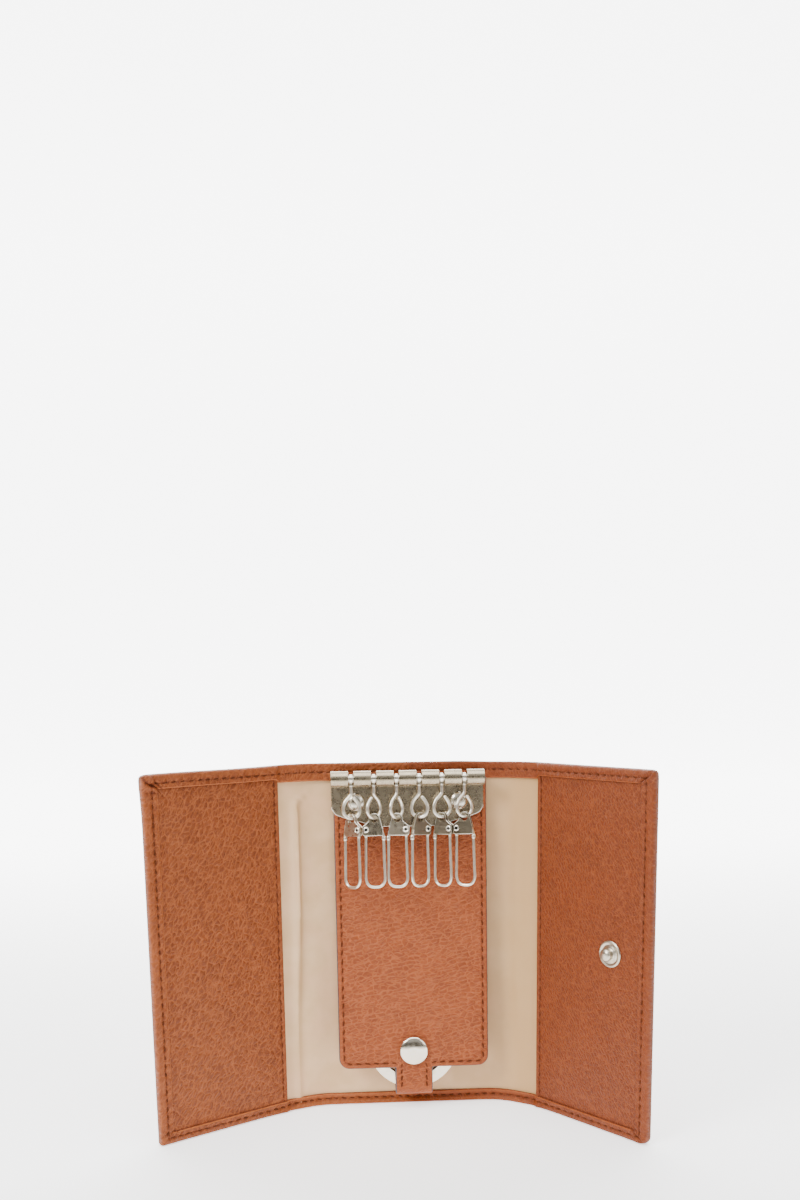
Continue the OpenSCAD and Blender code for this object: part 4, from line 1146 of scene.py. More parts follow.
def pad_layer_bag(front):
    bag = Bag()
    xs = near_lines((-PAD_W / 2, PAD_W / 2), 3, FINE, -PAD_W / 2, PAD_W / 2, 1.4)
    tab_lines = near_lines((-STRAP_W / 2, STRAP_W / 2), 3, (0.0, 0.06, 0.14, 0.26, 0.5, 1.0, 1.3, 1.5, 1.7, 2.1), -STRAP_W / 2, STRAP_W / 2, 1.0)
    xs = np.unique(np.round(np.concatenate([xs[np.abs(xs) > STRAP_W / 2 + 0.9], tab_lines, [-STRAP_W / 2 - 0.5, STRAP_W / 2 + 0.5]]), 4))
    zs = near_lines((-PAD_L, 0.0), 3, FINE, -PAD_L, 0.0, 0.55)[::-1]
    X, Z = np.meshgrid(xs, zs, indexing="ij")
    WX, WZ, d = warp_corner(X, Z)
    d = np.minimum(d, -WZ)
    over_tab = (np.abs(X) <= STRAP_W / 2 + 1e-6)
    corner = np.hypot(np.maximum(STRAP_W / 2 - np.abs(X), 0), np.maximum(Z + PAD_L, 0))
    if front:
        d = np.where(over_tab & (Z + PAD_L < 3), np.maximum(d, np.minimum(corner, -Z)), d)
    edge = np.sqrt(np.clip(1 - (1 - np.clip(d / 0.42, 0, 1)) ** 2, 0, 1))
    run = np.where(np.abs(np.abs(WX) - (PAD_W / 2 - PAD_SEAM)) < 1.5, WZ, WX)
    in_seam = np.exp(-((d - PAD_SEAM) / 0.26) ** 2)
    if front:
        tab_in = STRAP_W / 2 - np.abs(X)
        no_seam = smooth((6.2 - np.abs(X)) / 0.7) * smooth((4 - (Z + PAD_L)) / 1)
        down = np.exp(-((tab_in - 1.75) / 0.26) ** 2) * smooth((0.8 - (Z + PAD_L)) / 1.0) * over_tab
        in_seam = in_seam * (1 - no_seam) + down
    dip = in_seam * (0.17 + 0.05 * np.cos(2 * math.pi * run / STEP))
    puff = 0.07 * np.exp(-((d - 0.85) / 0.35) ** 2) + 0.06 * np.exp(-((d - 2.3) / 0.6) ** 2)
    soft = (0.07 * noise(WX / 9, WZ / 11, 51 if front else 54) + 0.03 * noise(WX / 3.2, WZ / 3.0, 52)) * smooth((d - 1.6) / 3)
    press = 0.0
    if front:
        press = 0.16 * np.exp(-(np.clip(np.hypot(WX, WZ - CAP_Z) - 4.0, 0, None) / 0.7) ** 2)
    face = LAYER - dip + puff + soft - press
    mid = 0.18
    v = np.where(True, mid + (face - mid) * edge, 0)
    sgn = -1 if front else 1
    y_mid = -LAYER
    # lighter along the rounded edges; painted shade along the stitch channel
    wear_and_painted_light = 0.75 * smooth((1.2 - d) / 0.4) - 0.6 * in_seam
    off = 0 if front else 200
    P = np.stack([WX, y_mid + sgn * v, WZ], -1)
    ids = bag.points(flap(P), np.stack([WX, WZ, off + 0 * WX], -1), wear_and_painted_light)
    cell = np.minimum.reduce([d[:-1, :-1], d[1:, :-1], d[1:, 1:], d[:-1, 1:]])
    cell_hi = np.maximum.reduce([d[:-1, :-1], d[1:, :-1], d[1:, 1:], d[:-1, 1:]])
    paint = np.where(cell_hi <= 0.265, 1, 0)
    bag.quads(ids, paint)
    # the side that meets the other layer
    B = np.stack([WX, np.full_like(WX, y_mid + sgn * 0.02), WZ], -1)
    low = bag.points(flap(B), np.stack([WX, WZ, off + 0 * WX], -1), wear_and_painted_light)
    bag.quads(low, 1)
    nx, nz = ids.shape
    bag.quads(np.stack([ids[0], low[0]], 1), 1)
    bag.quads(np.stack([ids[-1], low[-1]], 1), 1)
    bag.quads(np.stack([ids[:, 0], low[:, 0]], 1), 1)
    tab_cols = np.where(np.abs(xs) <= STRAP_W / 2 + 1e-6)[0]
    if not front:
        bag.quads(np.stack([ids[:, -1], low[:, -1]], 1), 1)
        return bag
    a, b = tab_cols[0], tab_cols[-1]
    bag.quads(np.stack([ids[:a + 1, -1], low[:a + 1, -1]], 1), 1)
    bag.quads(np.stack([ids[b:, -1], low[b:, -1]], 1), 1)
    # the tab: straight down, then round under the ring
    ro = FOLD_RI + STRAP_T
    outer, inner, runs = [], [], []
    z = -PAD_L
    for q in np.arange(0.06, 0.9, 0.14):
        outer.append((-(2 * LAYER) + 0.35 * smooth(q / 1.2), z - q))
        inner.append((-(2 * LAYER) + 0.35 * smooth(q / 1.2) + 1.08 + 0.27 * smooth(q / 1.2), z - q))
    for q in np.linspace(0.95, -PAD_L - FOLD_Z, 9):
        outer.append((FOLD_Y - ro + (-0.35 + 0.35 * float(smooth(q / 1.2))), z - q))
        inner.append((FOLD_Y - FOLD_RI, z - q))
    for t in np.radians(np.linspace(0, 180, 25))[1:]:
        outer.append((FOLD_Y - ro * math.cos(t), FOLD_Z - ro * math.sin(t)))
        inner.append((FOLD_Y - FOLD_RI * math.cos(t), FOLD_Z - FOLD_RI * math.sin(t)))
    outer, inner = np.array(outer, float), np.array(inner, float)
    x = xs[tab_cols]
    tab_in = STRAP_W / 2 - np.abs(x)
    rim = np.sqrt(np.clip(1 - (1 - np.clip(tab_in / 0.42, 0, 1)) ** 2, 0, 1))
    run = np.concatenate([[0], np.cumsum(np.hypot(*np.diff(outer, axis=0).T))])
    nrm = outer - inner
    nrm = nrm / np.linalg.norm(nrm, axis=1, keepdims=True)
    mid_line = inner + nrm * 0.5
    R, TI = np.meshgrid(run, tab_in, indexing="ij")
    XX = np.meshgrid(run, x, indexing="ij")[1]
    seam = np.exp(-((TI - 1.75) / 0.26) ** 2) * (0.15 + 0.05 * np.cos(2 * math.pi * R / STEP)) * smooth((9.5 - R) / 1.5)
    soft = 0.05 * noise(XX / 2.6 + 3, R / 2.8, 56) * smooth((TI - 0.5) / 1)
    thick = np.linalg.norm(outer - inner, axis=1)[:, None]
    half = (thick - 0.5 - seam + soft + 0.05 * np.exp(-((TI - 0.8) / 0.35) ** 2)) * rim[None]
    pts = mid_line[:, None, :] + nrm[:, None, :] * half[..., None]
    T = np.stack([XX, pts[..., 0], pts[..., 1]], -1)
    flat = np.stack([XX, -PAD_L - 0.06 - R, 0 * R], -1)
    tids = bag.points(flap(T), flat, np.maximum(0.75 * smooth((1.2 - TI) / 0.6), 0.6 * smooth((R - 3.2) / 1.5)))
    bag.quads(np.concatenate([ids[a:b + 1, -1][None], tids], 0), np.where(np.broadcast_to(np.maximum(tab_in[1:], tab_in[:-1])[None] <= 0.265, (len(run), len(x) - 1)), 1, 0))
    In = np.stack([XX, (inner[:, 0])[:, None] + 0 * XX, (inner[:, 1])[:, None] + 0 * XX], -1)
    iids = bag.points(flap(In), np.stack([XX, -PAD_L - R, 30 + 0 * R], -1), 0.3)
    bag.quads(np.concatenate([low[a:b + 1, -1][None], iids], 0), 0)
    for e, le in ((a, 0), (b, -1)):
        bag.quads(np.stack([np.concatenate([[ids[e, -1]], tids[:, le]]), np.concatenate([[low[e, -1]], iids[:, le]])], 1), 1)
    bag.quads(np.stack([tids[-1], iids[-1]], 0), 1)
    return bag


pad_front = make("pad_face_with_tab", pad_layer_bag(True), [M["pad"], M["paint"]], sharp=60)
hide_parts("pad_front", "strap_fold")
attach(pad_front, "pad")
pad_rear = make("pad_rear_layer", pad_layer_bag(False), [M["pad_back"], M["paint"]], sharp=60)
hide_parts("pad_back")
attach(pad_rear, "pad")


def pad_seam_paths():
    """The pad's seam: down the left side and along the bottom to the tab, and the same on the right."""
    w, b = PAD_W / 2 - PAD_SEAM, -PAD_L + PAD_SEAM
    r = 1.6
    for sgn in (-1, 1):
        side_line = [(sgn * w, z) for z in np.linspace(-1.5, b + r, 150)]
        corner = [(sgn * (w - r + r * math.cos(t)), b + r - r * math.sin(t)) for t in np.radians(np.linspace(0, 90, 9))[1:]]
        bottom = [(x, b) for x in np.linspace(sgn * (w - r), sgn * 4.3, 34)[1:]]
        yield sgn, np.array(side_line + corner + bottom)


stitches = Bag()
for sgn, path in pad_seam_paths():
    p = np.stack([path[:, 0], np.full(len(path), -2 * LAYER + 0.15), path[:, 1]], -1)
    stitch_bag(stitches, flap(p), np.broadcast_to(flap(np.array([0, -1.0, 0])) - flap(np.zeros(3)), p.shape), slant=12 * sgn, step=2.5, length=1.6)
    q = np.stack([path[:, 0], np.full(len(path), -0.31), path[:, 1]], -1)
    stitch_bag(stitches, flap(q), np.broadcast_to(flap(np.array([0, 1.0, 0])) - flap(np.zeros(3)), q.shape), slant=12 * sgn, step=2.5, length=1.6)
    zt = np.linspace(-PAD_L + 1.6, FOLD_Z - 0.2, 14)
    yt = np.where(zt > -PAD_L, -2 * LAYER + 0.15, FOLD_Y - FOLD_RI - STRAP_T + 0.12)
    t = np.stack([np.full(len(zt), sgn * (STRAP_W / 2 - 1.75)), yt, zt], -1)
    stitch_bag(stitches, flap(t), np.broadcast_to(flap(np.array([0, -1.0, 0])) - flap(np.zeros(3)), t.shape), slant=12 * sgn, step=1.75, length=1.45)
ob = make("pad_stitches", stitches, [M["thread"]], sharp=0)
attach(ob, "pad")


def strap_end_bag():
    bag = Bag()
    y0 = FOLD_Y + FOLD_RI
    tip = CAP_Z + 0.2
    n_arc = 14
    rows = [(z, STRAP_W / 2) for z in np.linspace(FOLD_Z + 0.2, tip, 26)]
    r = STRAP_W / 2
    rows += [(tip + r * math.sin(t), r * math.cos(t)) for t in np.radians(np.linspace(0, 86, n_arc))[1:]]
    xs = np.unique(np.round(np.concatenate([np.linspace(-1, 1, 13), 1 - np.array([0.012, 0.03, 0.06, 0.1, 0.16, 0.28, 0.33, 0.38]), -(1 - np.array([0.012, 0.03, 0.06, 0.1, 0.16, 0.28, 0.33, 0.38]))]), 4))
    X = np.array([[x * w for x in xs] for _, w in rows])
    Z = np.array([[z for _ in xs] for z, _ in rows])
    straight = STRAP_W / 2 - np.abs(X)
    round_d = r - np.hypot(X, np.maximum(Z - tip, 0))
    d = np.where(Z > tip, round_d, straight)
    rim = np.sqrt(np.clip(1 - (1 - np.clip(d / 0.42, 0, 1)) ** 2, 0, 1))
    seam = np.exp(-((d - 1.75) / 0.26) ** 2) * 0.14
    soft = 0.04 * noise(X / 3, Z / 3, 57)
    mid = 0.6
    V = mid + (STRAP_T - mid - seam + soft * smooth(d)) * rim
    outer = bag.points(flap(np.stack([X, y0 + V, Z], -1)), np.stack([X, Z, 300 + 0 * X], -1), 0.75 * smooth((1.2 - d) / 0.6))
    inner = bag.points(flap(np.stack([X, y0 + 0 * X, Z], -1)), np.stack([X, Z, 320 + 0 * X], -1), 0.3)
    hi = np.maximum.reduce([d[:-1, :-1], d[1:, :-1], d[1:, 1:], d[:-1, 1:]])
    bag.quads(outer, np.where(hi <= 0.26, 1, 0)), bag.quads(inner)
    for a, b in ((outer[0], inner[0]), (outer[-1], inner[-1]), (outer[:, 0], inner[:, 0]), (outer[:, -1], inner[:, -1])):
        bag.quads(np.stack([a, b], 1), 1)
    return bag


ob = make("strap_end_tab", strap_end_bag(), [M["pad_back"], M["paint"]], sharp=60)
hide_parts("strap_end")
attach(ob, "strap")
bag = Bag()
r = STRAP_W / 2 - 1.75
path = [(-r, z) for z in np.linspace(FOLD_Z + 0.8, CAP_Z + 0.2, 24)] + [(r * math.cos(t), CAP_Z + 0.2 + r * math.sin(t)) for t in np.radians(np.linspace(180, 0, 21))[1:-1]] + [(r, z) for z in np.linspace(CAP_Z + 0.2, FOLD_Z + 0.8, 24)]
p = np.array([(x, FOLD_Y + FOLD_RI + STRAP_T - 0.13, z) for x, z in path])
stitch_bag(bag, flap(p), np.broadcast_to(flap(np.array([0, 1.0, 0])) - flap(np.zeros(3)), p.shape), slant=12)
ob = make("strap_end_stitches", bag, [M["thread"]], sharp=0)
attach(ob, "strap")

# the neck of leather that the pad turns on, sewn in under the top edge
bag = Bag()
line = catmull([(-0.55, 96.0), (-0.56, 95.2), (-0.72, 94.7), (-1.25, 94.4), (-1.75, 94.15), (-1.95, 93.6), (-1.95, 92.9)], 4)
tang = unit(np.gradient(line, axis=0))
nrm = np.stack([-tang[:, 1], tang[:, 0]], -1)
xs = np.unique(np.concatenate([np.linspace(-19, 19, 60), [-18.9, -18.7, 18.7, 18.9]]))
rim = np.sqrt(np.clip(1 - (1 - np.clip((19 - np.abs(xs)) / 0.3, 0, 1)) ** 2, 0, 1))
faces_ids = []
for sgn in (1, -1):
    yy = line[:, 0][None] + sgn * 0.3 * rim[:, None] * nrm[:, 0][None] + 0.02 * noise(xs[:, None] / 2, line[:, 1][None] * 2, 58)
    zz = line[:, 1][None] + sgn * 0.3 * rim[:, None] * nrm[:, 1][None]
    faces_ids.append(bag.points(np.stack([xs[:, None] + 0 * yy, yy, zz], -1), np.stack([xs[:, None] + 0 * yy, zz + 7, 400 + 0 * yy], -1), 0.3))
bag.quads(faces_ids[0]), bag.quads(faces_ids[1])
for a, b in ((faces_ids[0][0], faces_ids[1][0]), (faces_ids[0][-1], faces_ids[1][-1]), (faces_ids[0][:, 0], faces_ids[1][:, 0]), (faces_ids[0][:, -1], faces_ids[1][:, -1])):
    bag.quads(np.stack([a, b], 1))
neck = make("pad_neck", bag, [M["pad"]])
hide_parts("pad_anchor")
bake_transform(neck)


# ------------------------------------------------------------------ key plate, rod and rivets

def on_plate(p):
    return flap(np.asarray(p) + [PLATE_X, 0, ROD_Z])


bag = Bag()
half = [(21.0, -1.9, 0), (21.0, -8.2, 1.4), (20.0, -9.75, 1.6), (17.3, -10.8, 2.0), (13.6, -11.75, 2.5), (10.4, -12.75, 1.5), (8.6, -13.3, 1.2)]
outline = rounded(half + [(-x, z, q) for x, z, q in half[::-1]], 6)
holes = [arc(s * 14.2, -6.4, 1.1, 0, 345, 24) for s in (-1, 1)]
bag.add(upright(stamped(outline, holes, 0.7, 0.16, 3), y=-2.55), on_plate)
inner_arc = arc(ROD_Y, 0, 1.55, 300, 0, 34)
section = [(-2.2, -2.2), (-2.24, -1.7), (-2.45, -0.9)] + arc(ROD_Y, 0, 2.2, 2, 303, 46) + inner_arc + [(-3.22, -0.9), (-2.93, -1.7), (-2.9, -2.2)]
knuckle_w = (42 - 6 * 1.4) / 7
roll_part = stamped(section, [], knuckle_w, 0.13, 3)
for i in range(7):
    v, f = roll_part
    cx = (i - 3) * 6.2
    bag.add((np.stack([v[:, 2] + cx, v[:, 0], v[:, 1]], -1), f), on_plate)
# a thin tube of bright nickel along the plate's lower edge: a painted edge highlight on a small bevel
rim = np.array([(x * 0.9945, z * 0.992 - 0.02) for x, z in outline if z < -2.4])
bag.add(tube(np.stack([rim[:, 0], np.full(len(rim), -2.83), rim[:, 1]], -1), 0.105, 8), on_plate, 1)
ob = make("hook_plate", bag, [M["plate"], M["wire"]], sharp=38, weighted=True)
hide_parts("key_plate")
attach(ob, "pad")

bag = Bag()
bag.add(revolve([(0, -20.95), (0.75, -20.95), (0.9, -20.8), (0.9, -10), (0.9, 0), (0.9, 10), (0.9, 20.8), (0.75, 20.95), (0, 20.95)], 24, "x"), lambda v: on_plate(v + [0, ROD_Y, 0]))
ob = make("hook_rod", bag, [M["wire"]], sharp=38)
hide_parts("rod")
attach(ob, "pad")

bag = Bag()
for s in (-1, 1):
    prof = [(0, 0.95), (0.7, 0.92), (1.25, 0.82), (1.75, 0.64), (2.15, 0.42), (2.4, 0.2), (2.48, 0.06), (2.42, -0.02), (1.0, -0.02), (1.0, -2.85), (2.2, -2.9), (2.32, -3.05), (2.2, -3.2), (0, -3.25)]
    bag.add(moved(revolve(prof, 40, "-y"), [s * 14.2, -2.9, -6.4]), on_plate)
ob = make("plate_rivet_pair", bag, [M["rivet"]], sharp=38)
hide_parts("plate_rivets")
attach(ob, "pad")


# ------------------------------------------------------------------ snaps

bag = Bag()
prof = [(0, 1.5)] + [(r, 1.5 - 0.5 * (r / 3.45) ** 2.4) for r in np.linspace(0.3, 3.45, 14)] + [(3.68, 0.92), (3.88, 0.78), (4.02, 0.58), (4.1, 0.34), (4.1, 0.14), (3.96, 0.0), (1.2, 0.0), (1.2, -2.2), (0, -2.2)]
bag.add(moved(revolve(prof, 64, "-y"), [0, -2.2, CAP_Z]), flap)
ob = make("strap_snap_cap", bag, [M["bright"]], sharp=40)
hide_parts("strap_cap")
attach(ob, "pad")

bag = Bag()
prof = [(0, 0.25), (1.75, 0.25), (1.9, 0.32), (1.92, 1.15), (2.05, 1.38), (2.4, 1.42), (2.72, 1.3), (2.95, 0.45), (3.2, 0.33), (3.3, 0.2), (3.25, 0.0), (0, 0.0)]
bag.add(moved(revolve(prof, 56, "y"), [0, 0, CAP_Z]), flap)
ob = make("strap_snap_socket", bag, [M["bright"]], sharp=40)
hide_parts("strap_socket")
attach(ob, "pad")

bag = Bag()
prof = [(0, 1.45), (0.9, 1.45), (1.3, 1.4), (1.48, 1.25), (1.4, 1.08), (1.18, 1.0), (1.18, 0.3), (3.2, 0.3), (3.38, 0.2), (3.3, 0.0), (1.1, 0.0), (1.1, -1.35), (3.3, -1.36), (3.4, -1.45), (3.2, -1.58), (2.3, -1.74), (1.2, -1.83), (0, -1.86)]
bag.add(moved(revolve(prof, 56, "-y"), [0, FOLD_Y + FOLD_RI, CAP_Z]), flap)
ob = make("strap_snap_stud", bag, [M["bright"]], sharp=40)
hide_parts("strap_stud")
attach(ob, "strap")


def wing_place(side, u, v0, z, sign=1):
    """Places a part turned about z: its axis becomes the wing's forward direction."""
    o = wing_at(side, u, v0, z)
    fwd = unit(wing_at(side, u, v0 + 1, z) - o) * sign
    right = unit(wing_at(side, u + 1, v0, z) - o)
    up = np.array([0, 0, 1.0])
    return lambda v: o + v[:, :1] * right + v[:, 1:2] * up + v[:, 2:3] * fwd


bag = Bag()
prof = [(0, 2.82), (0.5, 2.78), (1.0, 2.66), (1.45, 2.42), (1.72, 2.1), (1.74, 1.85), (1.62, 1.66), (1.5, 1.5), (1.5, 0.75), (1.62, 0.58), (1.9, 0.5),
        (2.2, 0.42), (2.36, 0.3), (2.65, 0.28), (2.9, 0.42), (3.2, 0.5), (3.46, 0.42), (3.6, 0.22), (3.56, 0.02), (1.3, 0.0), (1.3, -0.68), (2.5, -0.7), (2.5, -0.88), (0, -0.88)]
bag.add(revolve(prof, 56), wing_place(1, STUD_U, POCKET, SNAP_Z))
ob = make("wing_snap_stud", bag, [M["snap"]], sharp=40)
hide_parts("wing_stud")
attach(ob, "right_wing")

bag = Bag()
prof = [(2.05, -0.2), (2.05, 1.5), (2.2, 1.78), (2.7, 1.86), (3.3, 1.8), (3.6, 1.6), (4.2, 1.42), (4.6, 1.34), (4.8, 1.2), (4.76, 1.0), (2.5, 1.0), (2.5, -0.2), (3.9, -0.25), (4.0, -0.38), (3.9, -0.49), (0, -0.49), (0, -0.22)]
bag.add(revolve(prof, 56), wing_place(-1, SOCK_U, 0.0, SNAP_Z, -1))
ob = make("wing_snap_socket", bag, [M["bright"]], sharp=40)
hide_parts("wing_socket")
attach(ob, "left_wing")


# ------------------------------------------------------------------ split ring: flat wire wound twice

def split_ring_part():
    RO, W, T = 13.0, 3.4, 0.72
    n = 220
    section = rounded([(-W / 2, -T / 2, 0.3), (W / 2, -T / 2, 0.3), (W / 2, T / 2, 0.3), (-W / 2, T / 2, 0.3)], 4)
    rows = []
    for i in range(n + 1):
        q = i / n
        a = math.radians(200 + 716 * q)
        lift = -0.43 + 0.86 * float(smooth((q - 0.46) / 0.08))
        thin = 1.0 - 0.45 * max(0, 1 - q / 0.02) - 0.45 * max(0, 1 - (1 - q) / 0.02)
        rows.append([((RO - W / 2 + x) * math.cos(a), (RO - W / 2 + x) * math.sin(a), lift + y * thin) for x, y in section])
    v = np.array(rows)
    m = v.shape[1]
    idx = np.arange(v.shape[0] * m).reshape(-1, m)
    idw = np.concatenate([idx, idx[:, :1]], 1)
    q = np.stack([idw[:-1, :-1], idw[1:, :-1], idw[1:, 1:], idw[:-1, 1:]], -1).reshape(-1, 4).tolist()
    return v.reshape(-1, 3), q + [idx[0].tolist(), idx[-1].tolist()]


bag = Bag()
v, f = split_ring_part()
RING_Z = FOLD_Z - 0.74 + 13
bag.add((np.stack([v[:, 0], -v[:, 2], v[:, 1]], -1), f), lambda p: flap(p + [0, 0.9, RING_Z]))
ob = make("key_ring_two_turns", bag, [M["bright"]], sharp=38, weld=0.0005)
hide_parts("split_ring")
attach(ob, "ring")


# ------------------------------------------------------------------ six hooks

LOOP_YAW = [2, 36, 42, -20, 8, 22]
BODY_YAW = [-42, -8, -4, 28, -38, -24]
FLIP = [1, 0, 1, 1, 1, 0]
MIRROR = [1, -1, 1, 1, 1, 1]
EYE_Z = -10.7

clip_part = Bag()
band = revolve([(0.92, -0.42), (0.98, -0.48), (1.2, -0.48), (1.28, -0.40), (1.28, 0.40), (1.2, 0.48), (0.98, 0.48), (0.92, 0.42)], 32, "x", closed=True)
foot = block(-0.46, 0.46, -0.62, 0.62, -2.1, -1.1, 0.2, 3)
LOOP_XZ = [(0, -1.8), (0, -2.6), (0, -3.4), (0.0, -3.95), (-0.16, -4.4), (-0.62, -4.95), (-1.25, -5.6), (-1.82, -6.45), (-2.17, -7.45), (-2.25, -8.45),
           (-1.98, -9.55), (-1.18, -10.38), (0, -10.7), (1.18, -10.38), (1.98, -9.55), (2.25, -8.45), (2.14, -7.4), (1.72, -6.4), (1.2, -5.65), (0.86, -5.25)]
body_outline = rounded([(-0.95, -9.62, 0.7), (0.45, -9.4, 0.7), (1.25, -10.1, 0.5), (1.75, -11.8, 0.8), (2.25, -13.6, 0.8), (2.35, -15.5, 0.35),
                        (-3.2, -15.62, 0.9), (-3.45, -13.15, 1.0), (-2.35, -12.35, 0.8), (-1.5, -11.55, 0.8), (-1.4, -10.5, 0.8)], 7)
eye_hole = arc(-0.05, -11.0, 0.98, 0, 345, 26)
rivet_hole = arc(-2.35, -13.9, 0.45, 0, 345, 20)
cheek = stamped(body_outline, [eye_hole, rivet_hole], 0.28, 0.07, 2)
eyelet = revolve([(0.42, -0.5), (0.42, -0.66), (0.46, -0.76), (0.56, -0.81), (0.70, -0.77), (0.82, -0.68), (0.79, -0.58), (0.56, -0.56), (0.54, 0), (0.56, 0.56), (0.79, 0.58), (0.82, 0.68), (0.70, 0.77), (0.56, 0.81), (0.46, 0.76), (0.42, 0.66), (0.42, 0.5)], 28, "y", closed=True)
# outline for thin bright nickel tubes round each hook body's cheeks: a painted edge highlight
EDGE_GLINT_XZ = np.array(body_outline + body_outline[:1])
EDGE_GLINT_XZ = EDGE_GLINT_XZ * 0.985 + EDGE_GLINT_XZ[:-1].mean(0) * 0.015
spring = stamped(rounded([(0.62, -10.05, 0.1), (1.0, -9.95, 0.1), (2.0, -13.2, 0.5), (2.62, -15.0, 0.4), (2.6, -15.9, 0.15), (2.2, -15.9, 0.15), (2.22, -15.0, 0.4), (1.62, -13.2, 0.5)], 4), [], 1.16, 0.08, 2)
catch = revolve([(0, -0.72), (0.38, -0.7), (0.54, -0.58), (0.6, -0.36), (0.6, 0.2), (0.54, 0.46), (0.42, 0.58), (0, 0.6)], 24)
collar = revolve([(0, -0.5), (0.40, -0.48), (0.44, -0.4), (0.44, 0.4), (0.40, 0.48), (0, 0.5)], 20)
bail_legs = [(-2.42, -15.0), (-2.44, -17.5), (-2.5, -20.5), (-2.56, -23.5), (-2.61, -25.6)]
bail_end = [(-2.64 * abs(math.cos(t)) ** 0.72 * (1 if math.cos(t) > 0 else -1), -26.5 - 3.15 * math.sin(t) ** 0.8) for t in np.radians(np.linspace(4, 176, 19))]
# which hook body takes which painted reflection tone of the stamped nickel
STAMPS = {1: "stamp_painted_bright", 2: "stamp", 3: "stamp_painted_bright", 4: "stamp_painted_dark", 5: "stamp_painted_dark", 6: "stamp_painted_dark"}
BAIL_XZ = bail_legs + bail_end + [(-x, z) for x, z in bail_legs[::-1][:-1]] + [(2.45, -16.9)]

for i in range(6):
    k = i + 1
    bag = Bag()
    bag.add(band, lambda v: on_rod(k, v))
    bag.add(foot, lambda v: on_rod(k, v))
    ob = make(f"rod_clip_{k}", bag, [M["wire"]], sharp=40, weighted=True)
    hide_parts(f"clip_{k}")
    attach(ob, f"clip_{k}")

    bag = Bag()
    xz = catmull(LOOP_XZ, 5)
    path = np.stack([xz[:, 0] * MIRROR[i], 0.10 * np.sin(np.linspace(0, 2.6, len(xz))), xz[:, 1]], -1)
    bag.add(tube(path, 0.49, 16), lambda v: on_rod(k, turn_z(v, LOOP_YAW[i])))
    bag.add(revolve([(0, -2.0), (0.45, -1.98), (0.56, -1.85), (0.56, -1.6), (0.4, -1.46), (0, -1.44)], 20), lambda v: on_rod(k, turn_z(v, LOOP_YAW[i])))
    ob = make(f"swivel_loop_{k}", bag, [M["wire"]], sharp=50)
    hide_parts(f"loop_{k}")
    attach(ob, f"loop_{k}")

    yaw = BODY_YAW[i] + 180 * FLIP[i]
    place = lambda v: on_rod(k, turn_z(v, yaw))
    bag = Bag()
    bag.add(upright(cheek, y=-0.46), place)
    bag.add(upright(cheek, y=0.46), place)
    # painted edge highlight: a bright nickel tube round each cheek
    for y in (-0.55, 0.55):
        bag.add(tube(np.stack([EDGE_GLINT_XZ[:, 0], np.full(len(EDGE_GLINT_XZ), y), EDGE_GLINT_XZ[:, 1]], -1), 0.065, 6), place, 1)
    bag.add(moved(eyelet, [-2.35, 0, -13.9]), place, 1)
    bag.add(moved(revolve([(0, -0.5), (0.46, -0.5), (0.46, 0.5), (0, 0.5)], 20, "y"), [-2.35, 0, -13.9]), place, 2)
    bag.add(upright(spring), place, 1)
    bag.add(moved(catch, [2.45, 0, -16.15]), place, 1)
    bag.add(moved(collar, [-2.44, 0, -15.6]), place, 1)
    ob = make(f"hook_body_{k}", bag, [M[STAMPS[k]], M["wire"], M["bore"]], sharp=38, weld=0.0006, weighted=True)
    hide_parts(f"hook_{k}")
    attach(ob, f"hook_{k}")

    bag = Bag()
    xz = catmull(BAIL_XZ, 5)
    bag.add(tube(np.stack([xz[:, 0], 0 * xz[:, 0], xz[:, 1]], -1), 0.41, 14), place)
    ob = make(f"wire_bail_{k}", bag, [M["wire"]], sharp=50)
    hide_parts(f"bail_{k}")
    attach(ob, f"bail_{k}")


# ------------------------------------------------------------------ floor, light and camera

def stage_material():
    """A white table that glows a little behind the object and falls dark towards the viewer."""
    g = Graph("pale_floor")
    at = g.node("TexCoord", "Object")
    y = g.node("SeparateXYZ", "Y", Vector=at)
    n = g.noise(at, 30.0, 3.0, 0.5)
    glow = g.math("ADD", g.span(y, -0.24, 0.00, 0.30, 1.20), g.span(y, 0.03, 0.6, 0.0, 4.2))
    g.set(Base_Color=g.mix(g.span(y, -0.42, -0.13), (0.20, 0.18, 0.155), g.mix(g.span(n, 0.3, 0.7), (0.93, 0.93, 0.93), (0.95, 0.95, 0.95))), Roughness=0.7, Specular_IOR_Level=0.2,
          Emission_Color=(1.0, 1.0, 1.0), Emission_Strength=glow)
    return g.mat


me = bpy.data.meshes.new("floor")
prof = [(y, 0.0) for y in np.linspace(-1.6, 1.0, 27)] + [(1.0 + 0.8 * math.sin(t), 0.8 - 0.8 * math.cos(t)) for t in np.radians(np.linspace(5, 90, 18))] + [(1.8, 3.0)]
verts = [(x, y, z) for x in (-3.0, 3.0) for y, z in prof]
n = len(prof)
me.from_pydata(verts, [], [(i, i + n, i + n + 1, i + 1) for i in range(n - 1)])
me.polygons.foreach_set("use_smooth", [True] * len(me.polygons))
me.materials.append(stage_material())
floor = link(bpy.data.objects.new("floor", me))

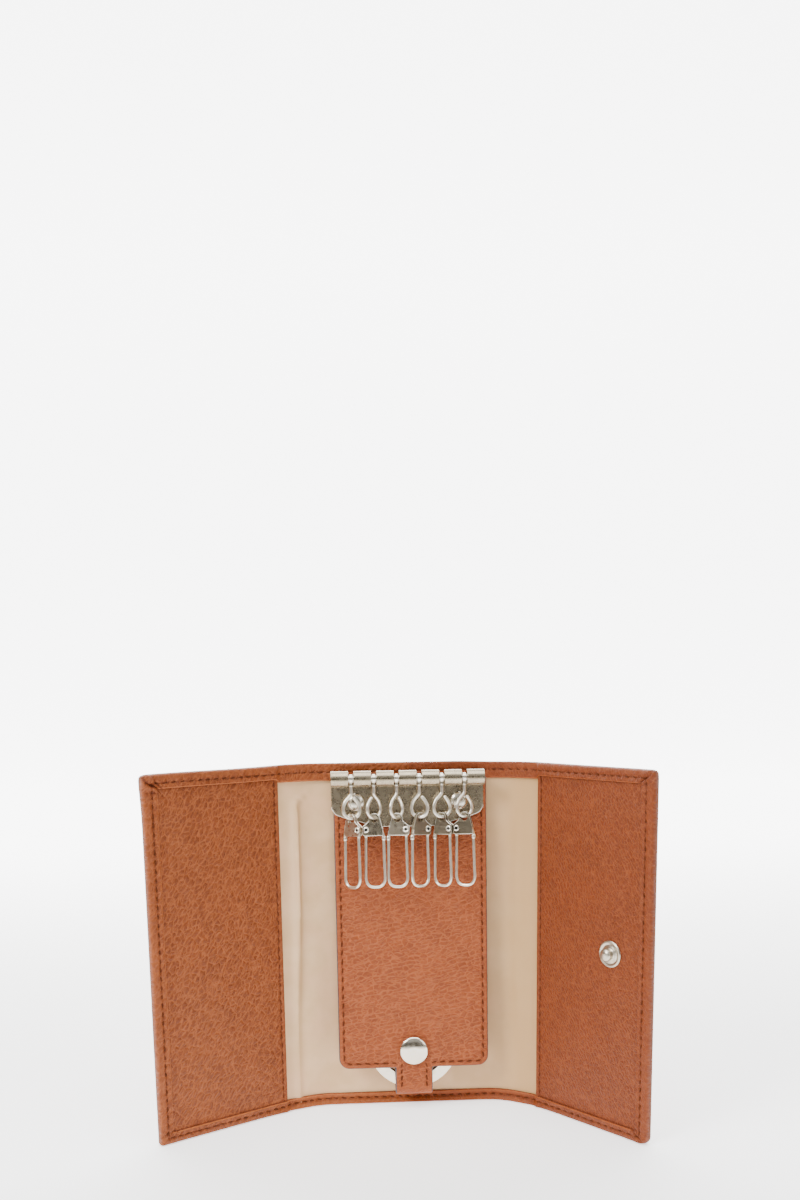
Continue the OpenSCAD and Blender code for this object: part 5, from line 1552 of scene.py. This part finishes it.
world = bpy.data.worlds.new("studio")
bpy.context.scene.world = world
world.use_nodes = True
wt = world.node_tree
bg = wt.nodes["Background"]
co = wt.nodes.new("ShaderNodeTexCoord")
sep = wt.nodes.new("ShaderNodeSeparateXYZ")
ramp = wt.nodes.new("ShaderNodeValToRGB")
wt.links.new(co.outputs["Generated"], sep.inputs[0])
wt.links.new(sep.outputs["Z"], ramp.inputs[0])
wt.links.new(ramp.outputs[0], bg.inputs[0])
cr = ramp.color_ramp
cr.elements[0].position, cr.elements[0].color = 0.0, (0.16, 0.145, 0.12, 1)
cr.elements[1].position, cr.elements[1].color = 0.20, (0.10, 0.09, 0.075, 1)
for pos_, col in ((0.34, (0.85, 0.84, 0.82, 1)), (0.6, (1.0, 1.0, 1.0, 1))):
    e = cr.elements.new(pos_)
    e.color = col
bg.inputs[1].default_value = 0.55


def area(name, at, look, size, power, colour=(1, 1, 1)):
    d = bpy.data.lights.new(name, "AREA")
    d.shape, d.size, d.size_y, d.energy, d.color = "RECTANGLE", size[0], size[1], power, colour
    ob = link(bpy.data.objects.new(name, d))
    ob.location = at
    ob.rotation_euler = (Vector(look) - Vector(at)).to_track_quat("-Z", "Y").to_euler()
    return ob


area("overhead", (0.0, -0.12, 0.62), (0, 0, 0.05), (0.75, 0.5), 5.5)
area("key", (-0.62, -0.50, 0.62), (0, 0, 0.05), (0.30, 0.30), 8.0, (1.0, 0.985, 0.96))
area("fill", (0.75, -0.75, 0.45), (0, 0, 0.05), (0.5, 0.6), 2.6)

# camera: fitted to the corners and edges of the photograph
F_PX, PITCH, YAW, ROLL_DEG = 1189.9, 9.86, 2.959, -0.822
CX, CD, CZ = -19.98, 330.25, 122.85
c, s_, t = math.radians(YAW), math.radians(YAW), math.radians(PITCH)
R = np.array([math.cos(c), -math.sin(c), 0])
Fw = np.array([math.sin(c) * math.cos(t), math.cos(c) * math.cos(t), -math.sin(t)])
U = np.array([math.sin(c) * math.sin(t), math.cos(c) * math.sin(t), math.cos(t)])
rr = math.radians(ROLL_DEG)
right = math.cos(rr) * R + math.sin(rr) * U
up = math.cos(rr) * U - math.sin(rr) * R
cam_data = bpy.data.cameras.new("camera")
cam = link(bpy.data.objects.new("camera", cam_data))
cam_data.sensor_width, cam_data.sensor_fit = 36.0, "AUTO"
cam_data.lens = F_PX * 36 / 1200
cam_data.shift_y = 280 / 1200
cam_data.clip_start, cam_data.clip_end = 0.01, 20
pos = row(np.array([CX, -CD, CZ]))
cam.matrix_world = Matrix((
    (right[0], up[0], -Fw[0], pos[0]),
    (right[1], up[1], -Fw[1], pos[1]),
    (right[2], up[2], -Fw[2], pos[2]),
    (0, 0, 0, 1),
))
bpy.context.scene.camera = cam

bpy.context.view_layer.update()
